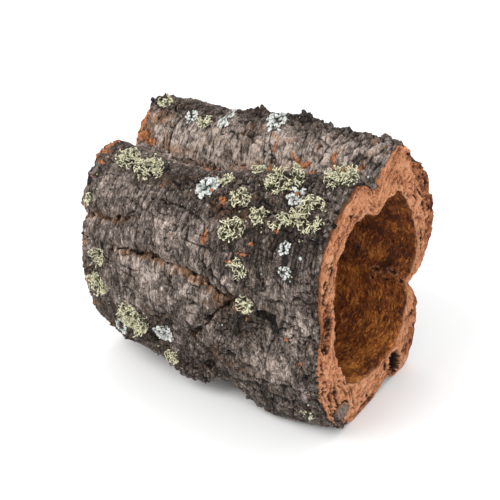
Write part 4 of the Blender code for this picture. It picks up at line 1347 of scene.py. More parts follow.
def crust_material(name, look):
    """Weathered outer bark: dark to pale grey by the piece's first value, brown and orange by its
    second and fourth, with fine lines round the tube. It is darker by the third, which is painted shade
    in its dents, holes, crack lips and round the bare patches."""
    s = Shades(name, 0.92)
    pale, warm, cavity_shade, tan = s.values("marks")
    bent = s.bent(12.0, 3.0)
    lines = s.noise((0.45, 4.5, 4.5), 3.0, 0.6, bent)
    long_lines = s.noise((1.1, 9.0, 9.0), 4.0, 0.65, bent)
    fine = s.noise(0.5, 4.0, 0.7)
    blotches = s.noise(2.4, 5.0, 0.7)
    slits = s.spread(s.size_of(s.noise((1.2, 6.0, 6.0), 3.0, 0.6, bent)), 0.0, 0.14)
    combed = s.times(lines, s.spread(s.noise(9.0, 2.0, 0.5), -0.4, 0.4, 0.25, 1.0))
    loose = s.bent(2.2, 1.6)
    cracks, flake = s.net((1.5, 3.4, 3.4), 0.16, loose)
    wide_cracks, plate = s.net((4.2, 6.5, 6.5), 0.07, s.bent(4.0, 5.0))
    tone = s.sum(
        (pale, 1.0), (combed, 0.3), (long_lines, 0.14), (fine, 0.25), (blotches, 0.2), (slits, 0.08),
        (cracks, 0.16), (flake, 0.16), (wide_cracks, 0.14), (plate, 0.10), -0.405,
    )
    grey = s.ramp(
        tone, (0.0, look.crust_dark, 0.35), (0.25, look.crust_dark), (0.5, look.crust_grey),
        (0.75, look.crust_pale), (1.0, look.crust_pale, 2.2),
    )
    brown = s.ramp(
        s.sum((fine, 0.34), (lines, 0.42), (pale, 0.7), 0.06), (0.0, look.cork_brown, 0.25),
        (0.5, look.cork_brown), (1.0, look.cork_brown, 3.0),
    )
    amount = s.spread(s.sum((warm, 1.0), (blotches, 0.28), (fine, 0.2), -0.1), 0.1, 0.9, 0.0, 0.85)
    colour = s.mix(amount, grey, brown)
    orange = s.ramp(
        s.sum((fine, 0.34), (blotches, 0.24), 0.5), (0.05, look.cork_orange, 0.16),
        (0.5, look.cork_orange), (0.95, look.cork_orange, 2.0),
    )
    shown = s.spread(s.sum((tan, 1.0), (fine, 0.3), (blotches, 0.12)), 0.3, 0.75, 0.0, 0.92)
    colour = s.mix(shown, colour, orange)
    flecks = s.spread(s.noise(1.3, 2.0, 0.5), 0.75, 1.05, 0.0, 0.6)
    colour = s.mix(flecks, colour, tinted(look.crust_pale, 1.8))
    # Painted shade: the bump's small pits and the dents of the third value are darkened.
    pits = s.spread(s.noise((1.0, 2.2, 2.2), 3.0, 0.6), -0.85, -0.3, 0.3, 1.0)
    shade = s.times(s.spread(cavity_shade, 0.05, 0.7, 0.16, 1.12), pits)
    colour = s.mix(1.0, colour, shade, "MULTIPLY")
    height = s.sum(
        (combed, 0.17), (fine, 0.17), (blotches, 0.1), (pits, 0.25), (slits, 0.12),
        (cracks, 0.2), (flake, 0.15), (wide_cracks, 0.25), (plate, 0.1),
    )
    return s.finish(colour, height, 1.0)


def sawn_material(name, look):
    """Sawn cork: pale by the first value, redder by the second and dark by the third, with the grey of
    outer bark by the fourth, and a painted highlight where the face meets the hollow. The third value is
    painted shade in the face's hollows, splits, pores and seams, along with its marks' own darkness, and
    the first falls in the hollows as painted shade too."""
    s = Shades(name, 0.88)
    tone, red, light, knob = s.values("marks")
    share = s.values("rim")[0]
    fine = s.noise(0.5, 4.0, 0.7)
    mottle = s.noise(1.5, 4.0, 0.65)
    cracks, flake = s.net((2.2, 2.6, 2.6), 0.09, s.bent(2.5, 2.5))
    amount = s.sum((tone, 0.64), (fine, 0.26), (mottle, 0.19), (cracks, 0.10), (flake, 0.12), 0.1)
    colour = s.ramp(
        amount, (0.0, look.sawn_red, 0.35), (0.25, look.sawn_red), (0.55, look.sawn_tan),
        (1.0, look.sawn_pale),
    )
    older = s.ramp(
        amount, (0.15, look.sawn_red, 0.15), (0.5, look.sawn_red), (0.85, look.sawn_tan),
    )
    colour = s.mix(s.spread(s.sum((red, 1.0), (mottle, 0.15)), 0.1, 0.9, 0.0, 0.95), colour, older)
    # A painted highlight along the edge where the face meets the hollow.
    rim = s.spread(s.sum((share, 1.0), (fine, 0.012), (mottle, 0.01)), 0.955, 0.99, 0.0, 0.6)
    colour = s.mix(rim, colour, tinted(look.sawn_pale))
    specks = s.spread(s.noise((0.8, 1.2, 1.2), 3.0, 0.6), -0.9, -0.35, 0.2, 1.0)
    # The third value and dark specks darken the cork; the third is painted shade in hollows, splits, pores
    # and seams, with the marks' own darkness.
    dark = s.times(s.spread(light, 0.1, 0.9, 0.08, 1.0), specks)
    grey = s.ramp(
        s.sum((fine, 0.36), (mottle, 0.3), 0.62), (0.0, look.crust_dark), (0.5, look.crust_grey, 1.3),
        (1.0, look.crust_pale, 1.5),
    )
    colour = s.mix(knob, colour, grey)
    colour = s.mix(1.0, colour, dark, "MULTIPLY")
    height = s.sum((fine, 0.16), (mottle, 0.16), (specks, 0.4), (cracks, 0.2), (flake, 0.1))
    return s.finish(colour, height, 0.8)


def hollow_material(name, look):
    """The hollow's lining: dark brown with ochre fibres that run round the tube in waves, brighter by
    the first value, which holds random tone and painted light on the lower side, tan at the ends by the
    second, a painted highlight along the rim, with painted shade in dents and the knots' pits and painted
    light on the knots' rings by the third, and on knots by the fourth like the sawn cork."""
    s = Shades(name, 0.62)
    shade, rim_highlight, dent_shade, knot = s.values("marks")
    bent = s.bent(11.0, 9.0)
    fibres = s.noise((1.3, 4.5, 4.5), 4.0, 0.7, bent)
    threads = s.noise((0.7, 2.2, 2.2), 3.0, 0.6, bent)
    fine = s.noise(0.8, 3.0, 0.6)
    blotches = s.noise(4.0, 4.0, 0.65)
    amount = s.sum((shade, 0.5), (fibres, 0.30), (threads, 0.26), (blotches, 0.18), (fine, 0.14), 0.175)
    colour = s.ramp(
        amount, (0.0, look.lining_dark, 0.3), (0.3, look.lining_dark), (0.55, look.lining_brown),
        (0.8, look.lining_ochre), (1.0, look.lining_ochre, 1.5),
    )
    raised = s.ramp(
        s.sum((fine, 0.35), (threads, 0.2), 0.5), (0.2, look.sawn_red), (0.8, look.sawn_pale),
    )
    colour = s.mix(s.spread(s.sum((knot, 1.0), (fine, 0.35)), 0.25, 0.9, 0.0, 0.6), colour, raised)
    # The painted highlight along the rim, broken up by noise.
    highlight_breakup = s.spread(s.sum((fine, 0.5), (blotches, 0.3)), -0.5, 0.5, 0.25, 0.9)
    colour = s.mix(s.times(rim_highlight, highlight_breakup), colour, tinted(look.sawn_tan))
    # Painted shade in the dents and pits, and painted light on the knots' rings.
    colour = s.mix(1.0, colour, s.spread(dent_shade, 0.05, 0.7, 0.2, 1.1), "MULTIPLY")
    height = s.sum((fibres, 0.24), (threads, 0.2), (fine, 0.1))
    return s.finish(colour, height, 0.9)


def lichen_material(name, shade, pale, mark_size):
    """Lichen: from the shade colour at the root to the pale one at the tips, by the first value, and
    changed from strand to strand by the second."""
    s = Shades(name, 0.85)
    tip, own, _, _ = s.values("marks")
    powder = s.noise(mark_size, 3.0, 0.6)
    amount = s.sum((tip, 0.62), (own, 0.38), (powder, 0.14))
    colour = s.ramp(
        amount, (0.0, shade, 0.35), (0.3, shade), (0.62, pale), (0.9, pale, 1.4),
    )
    s.shader.inputs["Subsurface Weight"].default_value = 0.1
    s.shader.inputs["Subsurface Radius"].default_value = (0.001, 0.001, 0.0006)
    return s.finish(colour, powder, 0.12)


def floor_material(name, colour):
    """The pale floor, very slightly uneven in tone."""
    s = Shades(name, 0.9)
    share = s.spread(s.noise(300.0, 2.0), -1.0, 1.0)
    return s.finish(s.mix(share, tinted(colour, 0.995), tuple(colour)))


# Sizes and colours that a user may change.


def colour_value(name, description, default):
    """A colour in linear light."""
    return bpy.props.FloatVectorProperty(
        name=name, description=description, subtype="COLOR", size=3, min=0.0, max=1.0, default=default
    )


def length_value(name, description, default, low, high):
    """A small length, in metres."""
    return bpy.props.FloatProperty(
        name=name, description=description, default=default, min=low, max=high, subtype="DISTANCE",
        unit="LENGTH", precision=5,
    )


def light_value(name, description, default, unit="NONE"):
    """The strength of a light."""
    return bpy.props.FloatProperty(
        name=name, description=description, default=default, min=0.0, unit=unit
    )


def angle_value(name, description, degrees):
    """An angle, given in degrees."""
    return bpy.props.FloatProperty(
        name=name, description=description, default=np.radians(degrees), unit="ROTATION", subtype="ANGLE"
    )


class BarkLook(bpy.types.PropertyGroup):
    """Colours of the crust, the sawn cork and the hollow, and how many crumbs lie on the crust."""

    crust_dark: colour_value("Dark crust", "Colour of the crust's darkest parts", (0.038, 0.0270, 0.0208))
    crust_grey: colour_value("Grey crust", "Colour of most of the crust", (0.122, 0.0945, 0.079))
    crust_pale: colour_value(
        "Pale crust", "Colour of the weathered faces of the plates", (0.270, 0.220, 0.190)
    )
    cork_brown: colour_value(
        "Brown bark", "Colour of the younger bark in cracks and patches", (0.178, 0.092, 0.046)
    )
    cork_orange: colour_value(
        "Orange cork", "Colour of the cork where the crust has come off", (0.52, 0.200, 0.085)
    )
    sawn_tan: colour_value("Sawn cork", "Colour of most of the sawn faces", (0.55, 0.217, 0.094))
    # The pale sawn colour also paints the highlight along the hollow's rim.
    sawn_pale: colour_value(
        "Pale sawn cork", "Colour of the palest sawn cork and the hollow's rim", (0.76, 0.395, 0.225)
    )
    sawn_red: colour_value("Red sawn cork", "Colour of the sawn faces' darker marks", (0.185, 0.056, 0.028))
    lining_dark: colour_value("Dark lining", "Colour of the hollow's dark parts", (0.080, 0.019, 0.004))
    lining_brown: colour_value("Brown lining", "Colour of most of the hollow", (0.275, 0.074, 0.011))
    lining_ochre: colour_value(
        "Ochre fibres", "Colour of the hollow's brightest fibres", (0.60, 0.235, 0.048)
    )
    crumbs: bpy.props.IntProperty(
        name="Crumbs", description="Number of loose crumbs on the crust", default=1500, min=0, max=3000
    )
    crumb_size: length_value("Crumb size", "Radius of a middling crumb", 0.0010, 0.0002, 0.003)


class LichenLook(bpy.types.PropertyGroup):
    """Colours and sizes of the lichens."""

    shrub_shade: colour_value(
        "Shrubby shade", "Colour of the shrubby lichens near their roots", (0.075, 0.080, 0.036)
    )
    shrub_pale: colour_value("Shrubby tips", "Colour of the shrubby lichens' tips", (0.715, 0.685, 0.48))
    leaf_shade: colour_value("Leafy shade", "Colour of the leafy lichens' middles", (0.19, 0.205, 0.185))
    leaf_pale: colour_value("Leafy edges", "Colour of the leafy lichens' edges", (0.60, 0.62, 0.585))
    strand: length_value("Strand", "Radius of a shrubby lichen's stem", 0.00038, 0.0002, 0.001)
    leaf_thickness: length_value(
        "Leaf thickness", "Thickness of a leafy lichen's lobes", 0.00032, 0.0001, 0.001
    )
    specks: bpy.props.IntProperty(
        name="Specks", description="Number of specks of young lichen", default=250, min=0, max=600
    )


class StudioLook(bpy.types.PropertyGroup):
    """Floor, light and camera."""

    floor: colour_value("Floor", "Colour of the floor", (0.93, 0.93, 0.93))
    sky: light_value("Sky", "Strength of the light from all round", 0.85)
    key: light_value("Key light", "Power of the light above on the left", 14.0, "POWER")
    fill: light_value("Fill light", "Power of the lights on the right and above", 5.0, "POWER")
    azimuth: angle_value("Azimuth", "Camera's turn from straight ahead", 34.5)
    elevation: angle_value("Elevation", "Camera's height angle", 32.0)


# Pieces.


def add_bark(name, rings, material, **values):
    """A closed piece of rings that stands for the bark."""
    faces = loft_faces(len(rings), SEGMENTS, True)
    add_piece(name, rings, [faces], material, "bark", ["bark"], **values)


def add_crust(look):
    """The outer bark in two plates that meet along the plate edge. Each is the fine outside on its
    side, closed by a rough inner side that is hidden in the cork."""
    angle = ring_angles()
    material = crust_material("weathered_crust", look)
    for name, side in (("far_bark", -1), ("near_bark", 1)):
        grid = crust(side)
        start, end = plate_edge(angle), side * (HALF - HIDDEN_END)
        shares = HIDDEN_SHARES[::-1]
        inner = [under_crust(start + (end - start) * share, side, OVERLAP) for share in shares]
        rings = np.concatenate([grid["points"], inner])
        hidden = np.array(shares)[:, None, None]
        marks = grid["marks"]
        marks = np.concatenate([marks, marks[:1] * (1 - hidden) + marks[-1:] * hidden])
        add_bark(name, rings, material, marks=marks)


def hollow_rings(x, out=0.0):
    """Rings of the hollow's side at each x: x, angle, relief and points. Hidden rings, which have no
    relief, lie out in the cork by a depth."""
    angle = ring_angles()
    x = np.asarray(x, float)[:, None] + 0 * angle
    turn = angle + 0 * x
    relief = 0 * x if out else hollow_relief(x, turn)
    radius = inner_radius(x, turn) + relief + scallops(x, turn)
    return x, turn, relief, polar(x + end_offset(x, turn, radius), turn, radius + out) + CORE


def add_cork(look):
    """The cork wall under the crust, with both sawn faces, and the lining of the hollow."""
    steps = np.array(WALL_STEPS)
    middle = np.linspace(WALL_MIDDLE, 2 * HALF - WALL_MIDDLE, WALL_MIDDLE_RINGS)
    steps = np.concatenate([steps, middle, 2 * HALF - steps[::-1]])
    outside = [under_crust(HALF - step, 1.0 if step < HALF else -1.0, 0.0) for step in steps]
    far_face, far_marks, far_rim = sawn_face(-1, FAR_FACE_RINGS)
    near_face, near_marks, near_rim = sawn_face(1, NEAR_FACE_RINGS)
    edges = hollow_rings([-HALF + WALL_EDGE, HALF - WALL_EDGE])[3]
    place = np.linspace(-HALF + WALL_INNER, HALF - WALL_INNER, HIDDEN_RINGS)
    under = hollow_rings(place, 0.8 * LINING)[3]
    rings = np.concatenate([outside, far_face, edges[:1], under, edges[1:], near_face[::-1]])
    own = np.zeros((len(outside), SEGMENTS, 4)) + [0.5, 0.3, 0.8, 0.0]
    inside = np.zeros((len(under) + 2, SEGMENTS, 4)) + [0.8, 0.1, 1.0, 0.0]
    marks = np.concatenate([own, far_marks, inside, near_marks[::-1]])
    # The share from the outside to the hollow, which places the painted highlight along the rim.
    rim = np.concatenate([own[..., 0] * 0, far_rim, inside[..., 0] * 0 + 1, near_rim[::-1]])
    add_bark("cork_wall", rings, sawn_material("sawn_cork", look), marks=marks, rim=rim)

    share = np.linspace(0.0, 1.0, LINING_RINGS) ** 0.85
    x, turn, relief, shown = hollow_rings(-HALF + LINING_EDGE + (2 * HALF - 2 * LINING_EDGE) * share)
    place = np.linspace(HALF - LINING_OUTER, -HALF + LINING_OUTER, HIDDEN_RINGS)
    hidden = hollow_rings(place, LINING)[3]
    here = polar(x, turn, HOLLOW_RADIUS)
    # Painted shade in the lining's recesses: the relief less its softened copies.
    dent_shade = 0.6 - 0.5 * (relief - softened(relief, 10)) - 0.35 * (relief - softened(relief, 3))
    dent_shade = clipped(dent_shade)
    # A painted highlight in tan along the hollow's rim at the sawn ends.
    rim_highlight = smoothstep(np.abs(x) + 0.7 * grain(here, 2.0, 92), HALF - 1.8, HALF - 0.3)
    rise, pit = knot_rises(x, turn)
    ring = clipped(0.45 * rise * (1 - 0.9 * clipped(pit)))
    # Painted shade in the knots' pits and painted light on their raised rings.
    dent_shade = clipped(dent_shade - 0.5 * clipped(pit) + 0.25 * ring)
    # Painted light on the hollow's lower side, which faces up; the rest of the first value is random tone.
    low = smoothstep(-np.sin(np.radians(turn)), 0.1, 0.9)
    shade = clipped(0.5 + 0.4 * grain(here, 12, 87) + 0.2 * relief + 0.22 * low)
    marks = np.stack([shade, rim_highlight, dent_shade, ring], axis=-1)
    rings = np.concatenate([shown, hidden])
    marks = np.concatenate([marks, marks[: len(hidden)] * 0 + 0.5])
    add_bark("hollow_lining", rings, hollow_material("hollow_lining", look), marks=marks)


def crumb_marks(index, size, draw, tan):
    """Colour values for lumps: those of the crust where each stands, made a little different."""
    own = both_crusts()["marks"][index]
    count = len(index)
    change = [draw.normal(0, 0.12, count), draw.normal(0.02, 0.15, count)]
    change = np.stack([*change, np.full(count, 0.15), np.full(count, tan)], axis=-1)
    return np.repeat(clipped(own + change), size, axis=0)


def add_loose(name, points, groups, marks):
    """A piece of loose bits of the crust, which stands for no node."""
    material = bpy.data.materials["weathered_crust"]
    add_piece(name, points, groups, material, "bark", (), marks=marks)


def add_crumbs(look):
    """Loose crumbs and grains on the rough parts of the crust."""
    grid = both_crusts()
    draw = np.random.default_rng(CRUMB_SEED)
    weight = smoothstep(grid["crumbly"], 0.45, 1.0) + 0.02
    index = scattered(draw, weight * (grid["points"][:, 2] > 2.5), look.crumbs)
    sizes = look.crumb_size / MM * draw.lognormal(-0.15, 0.45, len(index))
    sizes = np.minimum(sizes, LARGEST_CRUMB)
    points, groups, size = blobs(index, sizes, 0.7, draw)
    marks = crumb_marks(index, size, draw, 0.0)
    add_loose("bark_crumbs", points, groups, marks)


def add_chips():
    """Flakes of orange cork in the places where the crust has come off."""
    grid = both_crusts()
    draw = np.random.default_rng(CHIP_SEED)
    index = scattered(draw, patches(grid["x"], grid["angle"], CHIPS) ** 3, CHIP_COUNT)
    sizes = 0.5 * draw.lognormal(0, 0.35, len(index))
    points, groups, size = blobs(index, sizes, 0.45, draw)
    marks = crumb_marks(index, size, draw, 0.5)
    add_loose("cork_chips", points, groups, marks)


def add_fibres():
    """Torn fibres that hang from the lips of the plates over the cracks."""
    grid = both_crusts()
    draw = np.random.default_rng(FIBRE_SEED)
    index = scattered(draw, smoothstep(grid["band"], 0.75, 1.0) + 1e-9, FIBRE_COUNT)
    start, normal = grid["points"][index], grid["normals"][index]
    turn = np.radians(grid["angle"][index])
    down = np.stack([0 * turn, -np.sin(turn), np.cos(turn)], axis=-1)
    lean = unit(down + 0.35 * normal + draw.normal(0, 0.35, start.shape))
    length = draw.uniform(0.7, 2.4, len(index))[:, None, None]
    t = np.linspace(0, 1, 4)[None, :, None]
    paths = start[:, None] + length * (t * lean[:, None] - 0.35 * t**2 * normal[:, None])
    radii = 0.16 * (1 - 0.7 * t[..., 0]) * draw.uniform(0.7, 1.5, len(index))[:, None]
    points, groups, size = swept(paths, radii, FIBRE_SIDES, 0.8, draw.normal(size=start.shape))
    marks = crumb_marks(index, size, draw, 0.0)
    marks[:, 0] = np.repeat(draw.uniform(0.4, 1.0, len(index)), size)
    marks[:, 1] = 1.0
    marks[:, 2] = 0.7
    add_loose("crack_fibres", above(points), groups, marks)


def place_frame(x, angle):
    """The point of the fine outside at a place, its normal, and the directions along and round it."""
    step = np.array([0.0, 3.0, -3.0, 0.0, 0.0])
    turn = np.array([0.0, 0.0, 0.0, 3.0, -3.0])
    points = in_place(x + step, angle + turn, outer_radius(x + step, angle + turn))
    forward = unit(points[1] - points[2])
    normal = unit(np.cross(forward, points[3] - points[4]))
    outward = polar(0.0, np.array(angle), 1.0)
    normal = normal * np.sign(normal @ outward)
    return points[0], normal, forward, np.cross(normal, forward)


def tuft(place, strand, draw):
    """Strands of a shrubby tuft. Stems start all over a disc, in the clumps of a noise, and each forks
    in two twice. Every strand bends at random along its length, and all stay inside the tuft's spread
    and over the bark. Gives the paths, their radii and how near each knot is to a tip, from 0 to 1."""
    x, angle, spread = place
    point, normal, forward, across = place_frame(x, angle)
    stems = int(0.85 * spread**2 + 16)
    out = max(spread - 3.0, 0.3 * spread) * np.sqrt(draw.uniform(0, 1, stems))
    heading = draw.uniform(0, 2 * np.pi, stems)
    start = point + (out * np.cos(heading))[:, None] * forward + (out * np.sin(heading))[:, None] * across
    keep = grain(start, 5.0, 95) + draw.normal(0, 0.15, stems) > -0.1
    start, heading = start[keep], heading[keep] + draw.normal(0, 1.2, keep.sum())
    rise = draw.uniform(0.1, 1.2, len(start))
    ahead = (
        (np.cos(rise) * np.cos(heading))[:, None] * forward
        + (np.cos(rise) * np.sin(heading))[:, None] * across
        + np.sin(rise)[:, None] * normal
    )
    length = draw.uniform(1.6, 3.2, len(start)) * min(1.0, 0.45 + spread / 12)
    paths, radii, tips = [], [], []
    for level in range(3):
        count = len(start)
        t = np.linspace(0, 1, 4)
        bend = draw.normal(0, 0.42, (count, 3)) - 0.2 * level * normal
        line = start[:, None] + (length[:, None] * t)[..., None] * ahead[:, None]
        line = line + (length[:, None] * t**2)[..., None] * bend[:, None] * 0.6
        away = line - point
        height = away @ normal
        sideways = away - height[..., None] * normal
        limit = 0.94 * spread / np.maximum(np.linalg.norm(sideways, axis=-1), 1e-6)
        height = np.minimum(height, 0.5 * spread + 0.8)
        line = point + sideways * np.minimum(1.0, limit)[..., None] + height[..., None] * normal
        paths.append(line)
        thin = strand * 0.8**level * draw.uniform(0.75, 1.3, count)[:, None]
        radii.append(thin * (1 - 0.2 * t) if level < 2 else thin * (1 - 0.5 * t**3))
        tips.append((level + t) / 3 + 0 * thin)
        start = np.repeat(line[:, -1], 2, axis=0)
        ahead = np.repeat(unit(line[:, -1] - line[:, -2]), 2, axis=0)
        sign = np.tile([1.0, -1.0], count)[:, None]
        plane = np.repeat(unit(normal + draw.normal(0, 0.6, (count, 3))), 2, axis=0)
        apart = sign * draw.uniform(0.4, 1.1, (2 * count, 1)) * unit(np.cross(ahead, plane))
        ahead = unit(ahead + apart + 0.1 * normal)
        length = np.repeat(length, 2) * draw.uniform(0.5, 0.9, 2 * count)
    paths, radii, tips = (np.concatenate(part) for part in (paths, radii, tips))
    flat = paths - CORE
    reach = np.hypot(flat[..., 1], flat[..., 2])
    turn = np.degrees(np.arctan2(flat[..., 2], flat[..., 1]))
    floor = bark_radius(np.clip(paths[..., 0], -HALF, HALF), turn)
    return in_place(paths[..., 0], turn, np.maximum(reach, floor + 0.25)), radii, tips


def add_shrubby(look):
    """One shrubby tuft for each of its nodes. Its values say how near a point is to a tip, and hold a
    random number for each strand."""
    material = lichen_material("shrubby_lichen", look.shrub_shade, look.shrub_pale, 0.7)
    for number, place in enumerate(SHRUBBY, 1):
        draw = np.random.default_rng(SHRUB_SEED + number)
        paths, radii, tips = tuft(place, look.strand / MM, draw)
        turn = draw.normal(size=(len(paths), 3))
        points, groups, size = swept(paths, radii, STRAND_SIDES, 0.7, turn)
        tip = [np.repeat(tips, STRAND_SIDES, axis=1), tips[:, :1], tips[:, -1:] + 0.2]
        tip = clipped(np.concatenate(tip, axis=1))
        own = np.repeat(draw.uniform(0, 1, len(paths))[:, None], size, axis=1)
        marks = two_values(tip, own)
        name = f"shrubby_lichen_{number:02d}"
        add_piece("fine_" + name, points, groups, material, "shrubby_lichen", [name], marks=marks)


def add_leafy(look):
    """One rosette of overlapping lobes for each leafy node. The lobes stand all over its disc, each the
    same turn round from the last, and those near the middle are lifted more."""
    material = lichen_material("leafy_lichen", look.leaf_shade, look.leaf_pale, 0.9)
    for number, (x, angle, spread) in enumerate(LEAFY, 1):
        draw = np.random.default_rng(LEAF_SEED + number)
        lobes = int(18 + 2.6 * spread)
        heading = np.arange(lobes) * 2 * np.pi * LOBE_TURN + draw.normal(0, 0.3, lobes)
        out = 0.62 * spread * np.sqrt((np.arange(lobes) + 0.5) / lobes)
        middle = np.radians(angle) * UNROLLED_RADIUS
        base = np.stack([x + out * np.cos(heading), middle + out * np.sin(heading)], axis=-1)
        heading = heading + draw.normal(0, 0.8, lobes)
        length = np.minimum(spread * draw.uniform(0.3, 0.5, lobes), 1.04 * spread - out)
        width = spread * draw.uniform(0.12, 0.22, lobes)
        lift = draw.uniform(0.2, 0.8, lobes) + 0.5 * (1 - out / spread)
        curl = draw.uniform(0.1, 0.8, lobes)
        seeds = draw.uniform(0, 6, lobes)
        thick = look.leaf_thickness / MM
        points, groups, tip = leaves(base, heading, length, width, lift, curl, seeds, thick)
        own = np.repeat(draw.uniform(0, 1, lobes), len(tip) // lobes)
        marks = two_values(clipped(tip), own)
        name = f"leafy_lichen_{number:02d}"
        add_piece("fine_" + name, points, groups, material, "leafy_lichen", [name], marks=marks)


def add_specks(look):
    """Specks of young lichen, scattered on the upper front and near the grown lichens."""
    grid = both_crusts()
    draw = np.random.default_rng(SPECK_SEED)
    grown = [(x, angle, 1.8 * spread, 1.8 * spread) for x, angle, spread in SHRUBBY + LEAFY]
    weight = 0.03 + 0.6 * patches(grid["x"], grid["angle"], grown)
    weight = weight + 0.5 * patches(grid["x"], grid["angle"], SPECKLED)
    index = scattered(draw, weight * (grid["points"][:, 2] > 3), look.specks)
    kinds = (("pale_specks", (1, 2), "leafy_lichen"), ("yellow_specks", (0,), "shrubby_lichen"))
    for name, turn, slot in kinds:
        own = index[np.isin(np.arange(len(index)) % 3, turn)]
        sizes = 0.36 * draw.lognormal(0, 0.4, len(own))
        points, groups, size = blobs(own, sizes, 0.6, draw, 0.1)
        tone = np.repeat(draw.uniform(0.3, 1, len(own)), size)
        marks = two_values(tone, tone)
        add_piece(name, points, groups, bpy.data.materials[slot], slot, (), marks=marks)


def add_stage(look):
    """The floor, three soft lights, the sky and the camera."""
    reach = np.linspace(-1.0, 1.0, FLOOR_POINTS) ** 3 * FLOOR_REACH
    x, y = np.meshgrid(reach, reach, indexing="ij")
    points = np.stack([x, y, 0 * x - FLOOR_DEPTH], axis=-1).reshape(-1, 3)
    faces, _ = grid_faces(FLOOR_POINTS, FLOOR_POINTS)
    mesh = bpy.data.meshes.new("floor")
    mesh.from_pydata((points * MM).tolist(), [], faces.tolist())
    mesh.materials.append(floor_material("pale_floor", look.floor))
    floor = in_scene("floor", mesh)

    for name, place, size, power in LIGHTS:
        lamp = bpy.data.lights.new(name, "AREA")
        lamp.shape = "DISK"
        lamp.size = size
        lamp.energy = getattr(look, power)
        light = in_scene(name, lamp)
        facing = (Vector(place) - Vector(LIGHT_TARGET)).to_track_quat("Z", "Y")
        light.matrix_world = Matrix.Translation(place) @ facing.to_matrix().to_4x4()

    sky = bpy.data.worlds.new("studio")
    sky.use_nodes = True
    sky.node_tree.nodes["Background"].inputs["Color"].default_value = (1.0, 1.0, 1.0, 1.0)
    sky.node_tree.nodes["Background"].inputs["Strength"].default_value = look.sky
    bpy.context.scene.world = sky
    bpy.context.scene.view_settings.view_transform = "Standard"

    # The camera's own directions, and what it sees of the near rim from where it stands.
    turn, rise = look.azimuth, look.elevation
    right = np.array([np.cos(turn), np.sin(turn), 0.0])
    back = np.array([np.sin(turn) * np.cos(rise), -np.cos(turn) * np.cos(rise), np.sin(rise)])
    up = np.cross(back, right)
    across, down = (pixel - PICTURE_PIXELS / 2 for pixel in RIM_PIXEL)
    seen = (across / FOCAL_PIXELS * right - down / FOCAL_PIXELS * up - back) * RIM_DISTANCE
    place = np.array(RIM_POINT) - seen
    lens = bpy.data.cameras.new("camera")
    lens.sensor_width = SENSOR_WIDTH
    lens.lens = SENSOR_WIDTH * FOCAL_PIXELS / PICTURE_PIXELS
    lens.clip_start = NEAREST_SEEN
    camera = in_scene("camera", lens)
    camera.matrix_world = Matrix([[right[k], up[k], back[k], place[k]] for k in range(3)] + [[0, 0, 0, 1]])
    bpy.context.scene.camera = camera


class CORK_BARK_OT_crust(bpy.types.Operator):
    """Build the two plates of weathered outer bark"""

    bl_idname = "cork_bark.crust"
    bl_label = "Outer Bark"
    bl_options = {"REGISTER", "UNDO"}

    def execute(self, context):
        add_crust(context.scene.bark_look)
        return {"FINISHED"}


class CORK_BARK_OT_cork(bpy.types.Operator):
    """Build the cork wall with its sawn ends, and the lining of the hollow"""

    bl_idname = "cork_bark.cork"
    bl_label = "Cork Wall"
    bl_options = {"REGISTER", "UNDO"}

    def execute(self, context):
        add_cork(context.scene.bark_look)
        return {"FINISHED"}


class CORK_BARK_OT_crumbs(bpy.types.Operator):
    """Scatter crumbs on the rough bark"""

    bl_idname = "cork_bark.crumbs"
    bl_label = "Bark Crumbs"
    bl_options = {"REGISTER", "UNDO"}

    def execute(self, context):
        add_crumbs(context.scene.bark_look)
        return {"FINISHED"}


class CORK_BARK_OT_chips(bpy.types.Operator):
    """Set flakes of orange cork where the crust is off"""

    bl_idname = "cork_bark.chips"
    bl_label = "Cork Chips"
    bl_options = {"REGISTER", "UNDO"}

    def execute(self, context):
        add_chips()
        return {"FINISHED"}


class CORK_BARK_OT_fibres(bpy.types.Operator):
    """Hang torn fibres over the cracks"""

    bl_idname = "cork_bark.fibres"
    bl_label = "Crack Fibres"
    bl_options = {"REGISTER", "UNDO"}

    def execute(self, context):
        add_fibres()
        return {"FINISHED"}


class CORK_BARK_OT_shrubby(bpy.types.Operator):
    """Grow the shrubby lichens"""

    bl_idname = "cork_bark.shrubby"
    bl_label = "Shrubby Lichens"
    bl_options = {"REGISTER", "UNDO"}

    def execute(self, context):
        add_shrubby(context.scene.lichen_look)
        return {"FINISHED"}


class CORK_BARK_OT_leafy(bpy.types.Operator):
    """Grow the leafy lichens"""

    bl_idname = "cork_bark.leafy"
    bl_label = "Leafy Lichens"
    bl_options = {"REGISTER", "UNDO"}

    def execute(self, context):
        add_leafy(context.scene.lichen_look)
        return {"FINISHED"}


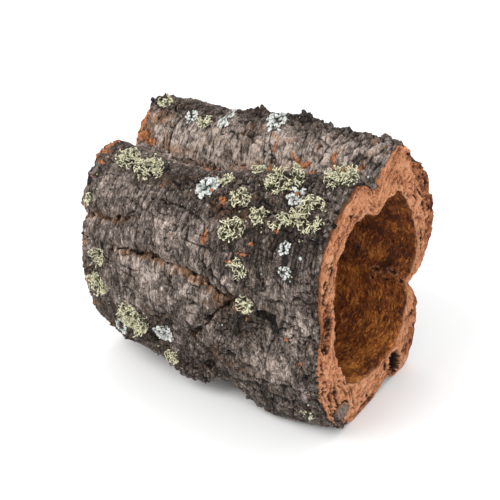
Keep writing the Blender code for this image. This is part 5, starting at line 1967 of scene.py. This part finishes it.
class CORK_BARK_OT_specks(bpy.types.Operator):
    """Scatter specks of young lichen"""

    bl_idname = "cork_bark.specks"
    bl_label = "Lichen Specks"
    bl_options = {"REGISTER", "UNDO"}

    def execute(self, context):
        add_specks(context.scene.lichen_look)
        return {"FINISHED"}


class CORK_BARK_OT_stage(bpy.types.Operator):
    """Set the floor, the lights and the camera"""

    bl_idname = "cork_bark.stage"
    bl_label = "Studio"
    bl_options = {"REGISTER", "UNDO"}

    def execute(self, context):
        add_stage(context.scene.studio_look)
        return {"FINISHED"}


OPERATORS = (
    CORK_BARK_OT_crust,
    CORK_BARK_OT_cork,
    CORK_BARK_OT_crumbs,
    CORK_BARK_OT_chips,
    CORK_BARK_OT_fibres,
    CORK_BARK_OT_shrubby,
    CORK_BARK_OT_leafy,
    CORK_BARK_OT_specks,
    CORK_BARK_OT_stage,
)


class CORK_BARK_PT_pieces(bpy.types.Panel):
    """Builds the pieces of the cork bark tube one by one"""

    bl_label = "Cork Bark Tube"
    bl_idname = "CORK_BARK_PT_pieces"
    bl_space_type = "VIEW_3D"
    bl_region_type = "UI"
    bl_category = "Cork Bark"

    def draw(self, context):
        for group in ("bark_look", "lichen_look", "studio_look"):
            look = getattr(context.scene, group)
            box = self.layout.box()
            for key in look.__annotations__:
                box.prop(look, key)
        for one in OPERATORS:
            self.layout.operator(one.bl_idname)


LOOKS = {"bark_look": BarkLook, "lichen_look": LichenLook, "studio_look": StudioLook}


def register():
    """Registers the values, the operators and the panel."""
    for look in LOOKS.values():
        bpy.utils.register_class(look)
    for name, look in LOOKS.items():
        setattr(bpy.types.Scene, name, bpy.props.PointerProperty(type=look))
    for one in (*OPERATORS, CORK_BARK_PT_pieces):
        bpy.utils.register_class(one)


def unregister():
    """Takes all of them away again, in the opposite order."""
    for one in (CORK_BARK_PT_pieces, *reversed(OPERATORS)):
        bpy.utils.unregister_class(one)
    for name in LOOKS:
        delattr(bpy.types.Scene, name)
    for look in reversed(LOOKS.values()):
        bpy.utils.unregister_class(look)


def main():
    """Builds every piece and the stage in order."""
    register()
    for one in OPERATORS:
        group, name = one.bl_idname.split(".")
        getattr(getattr(bpy.ops, group), name)()


if __name__ == "__main__":
    main()
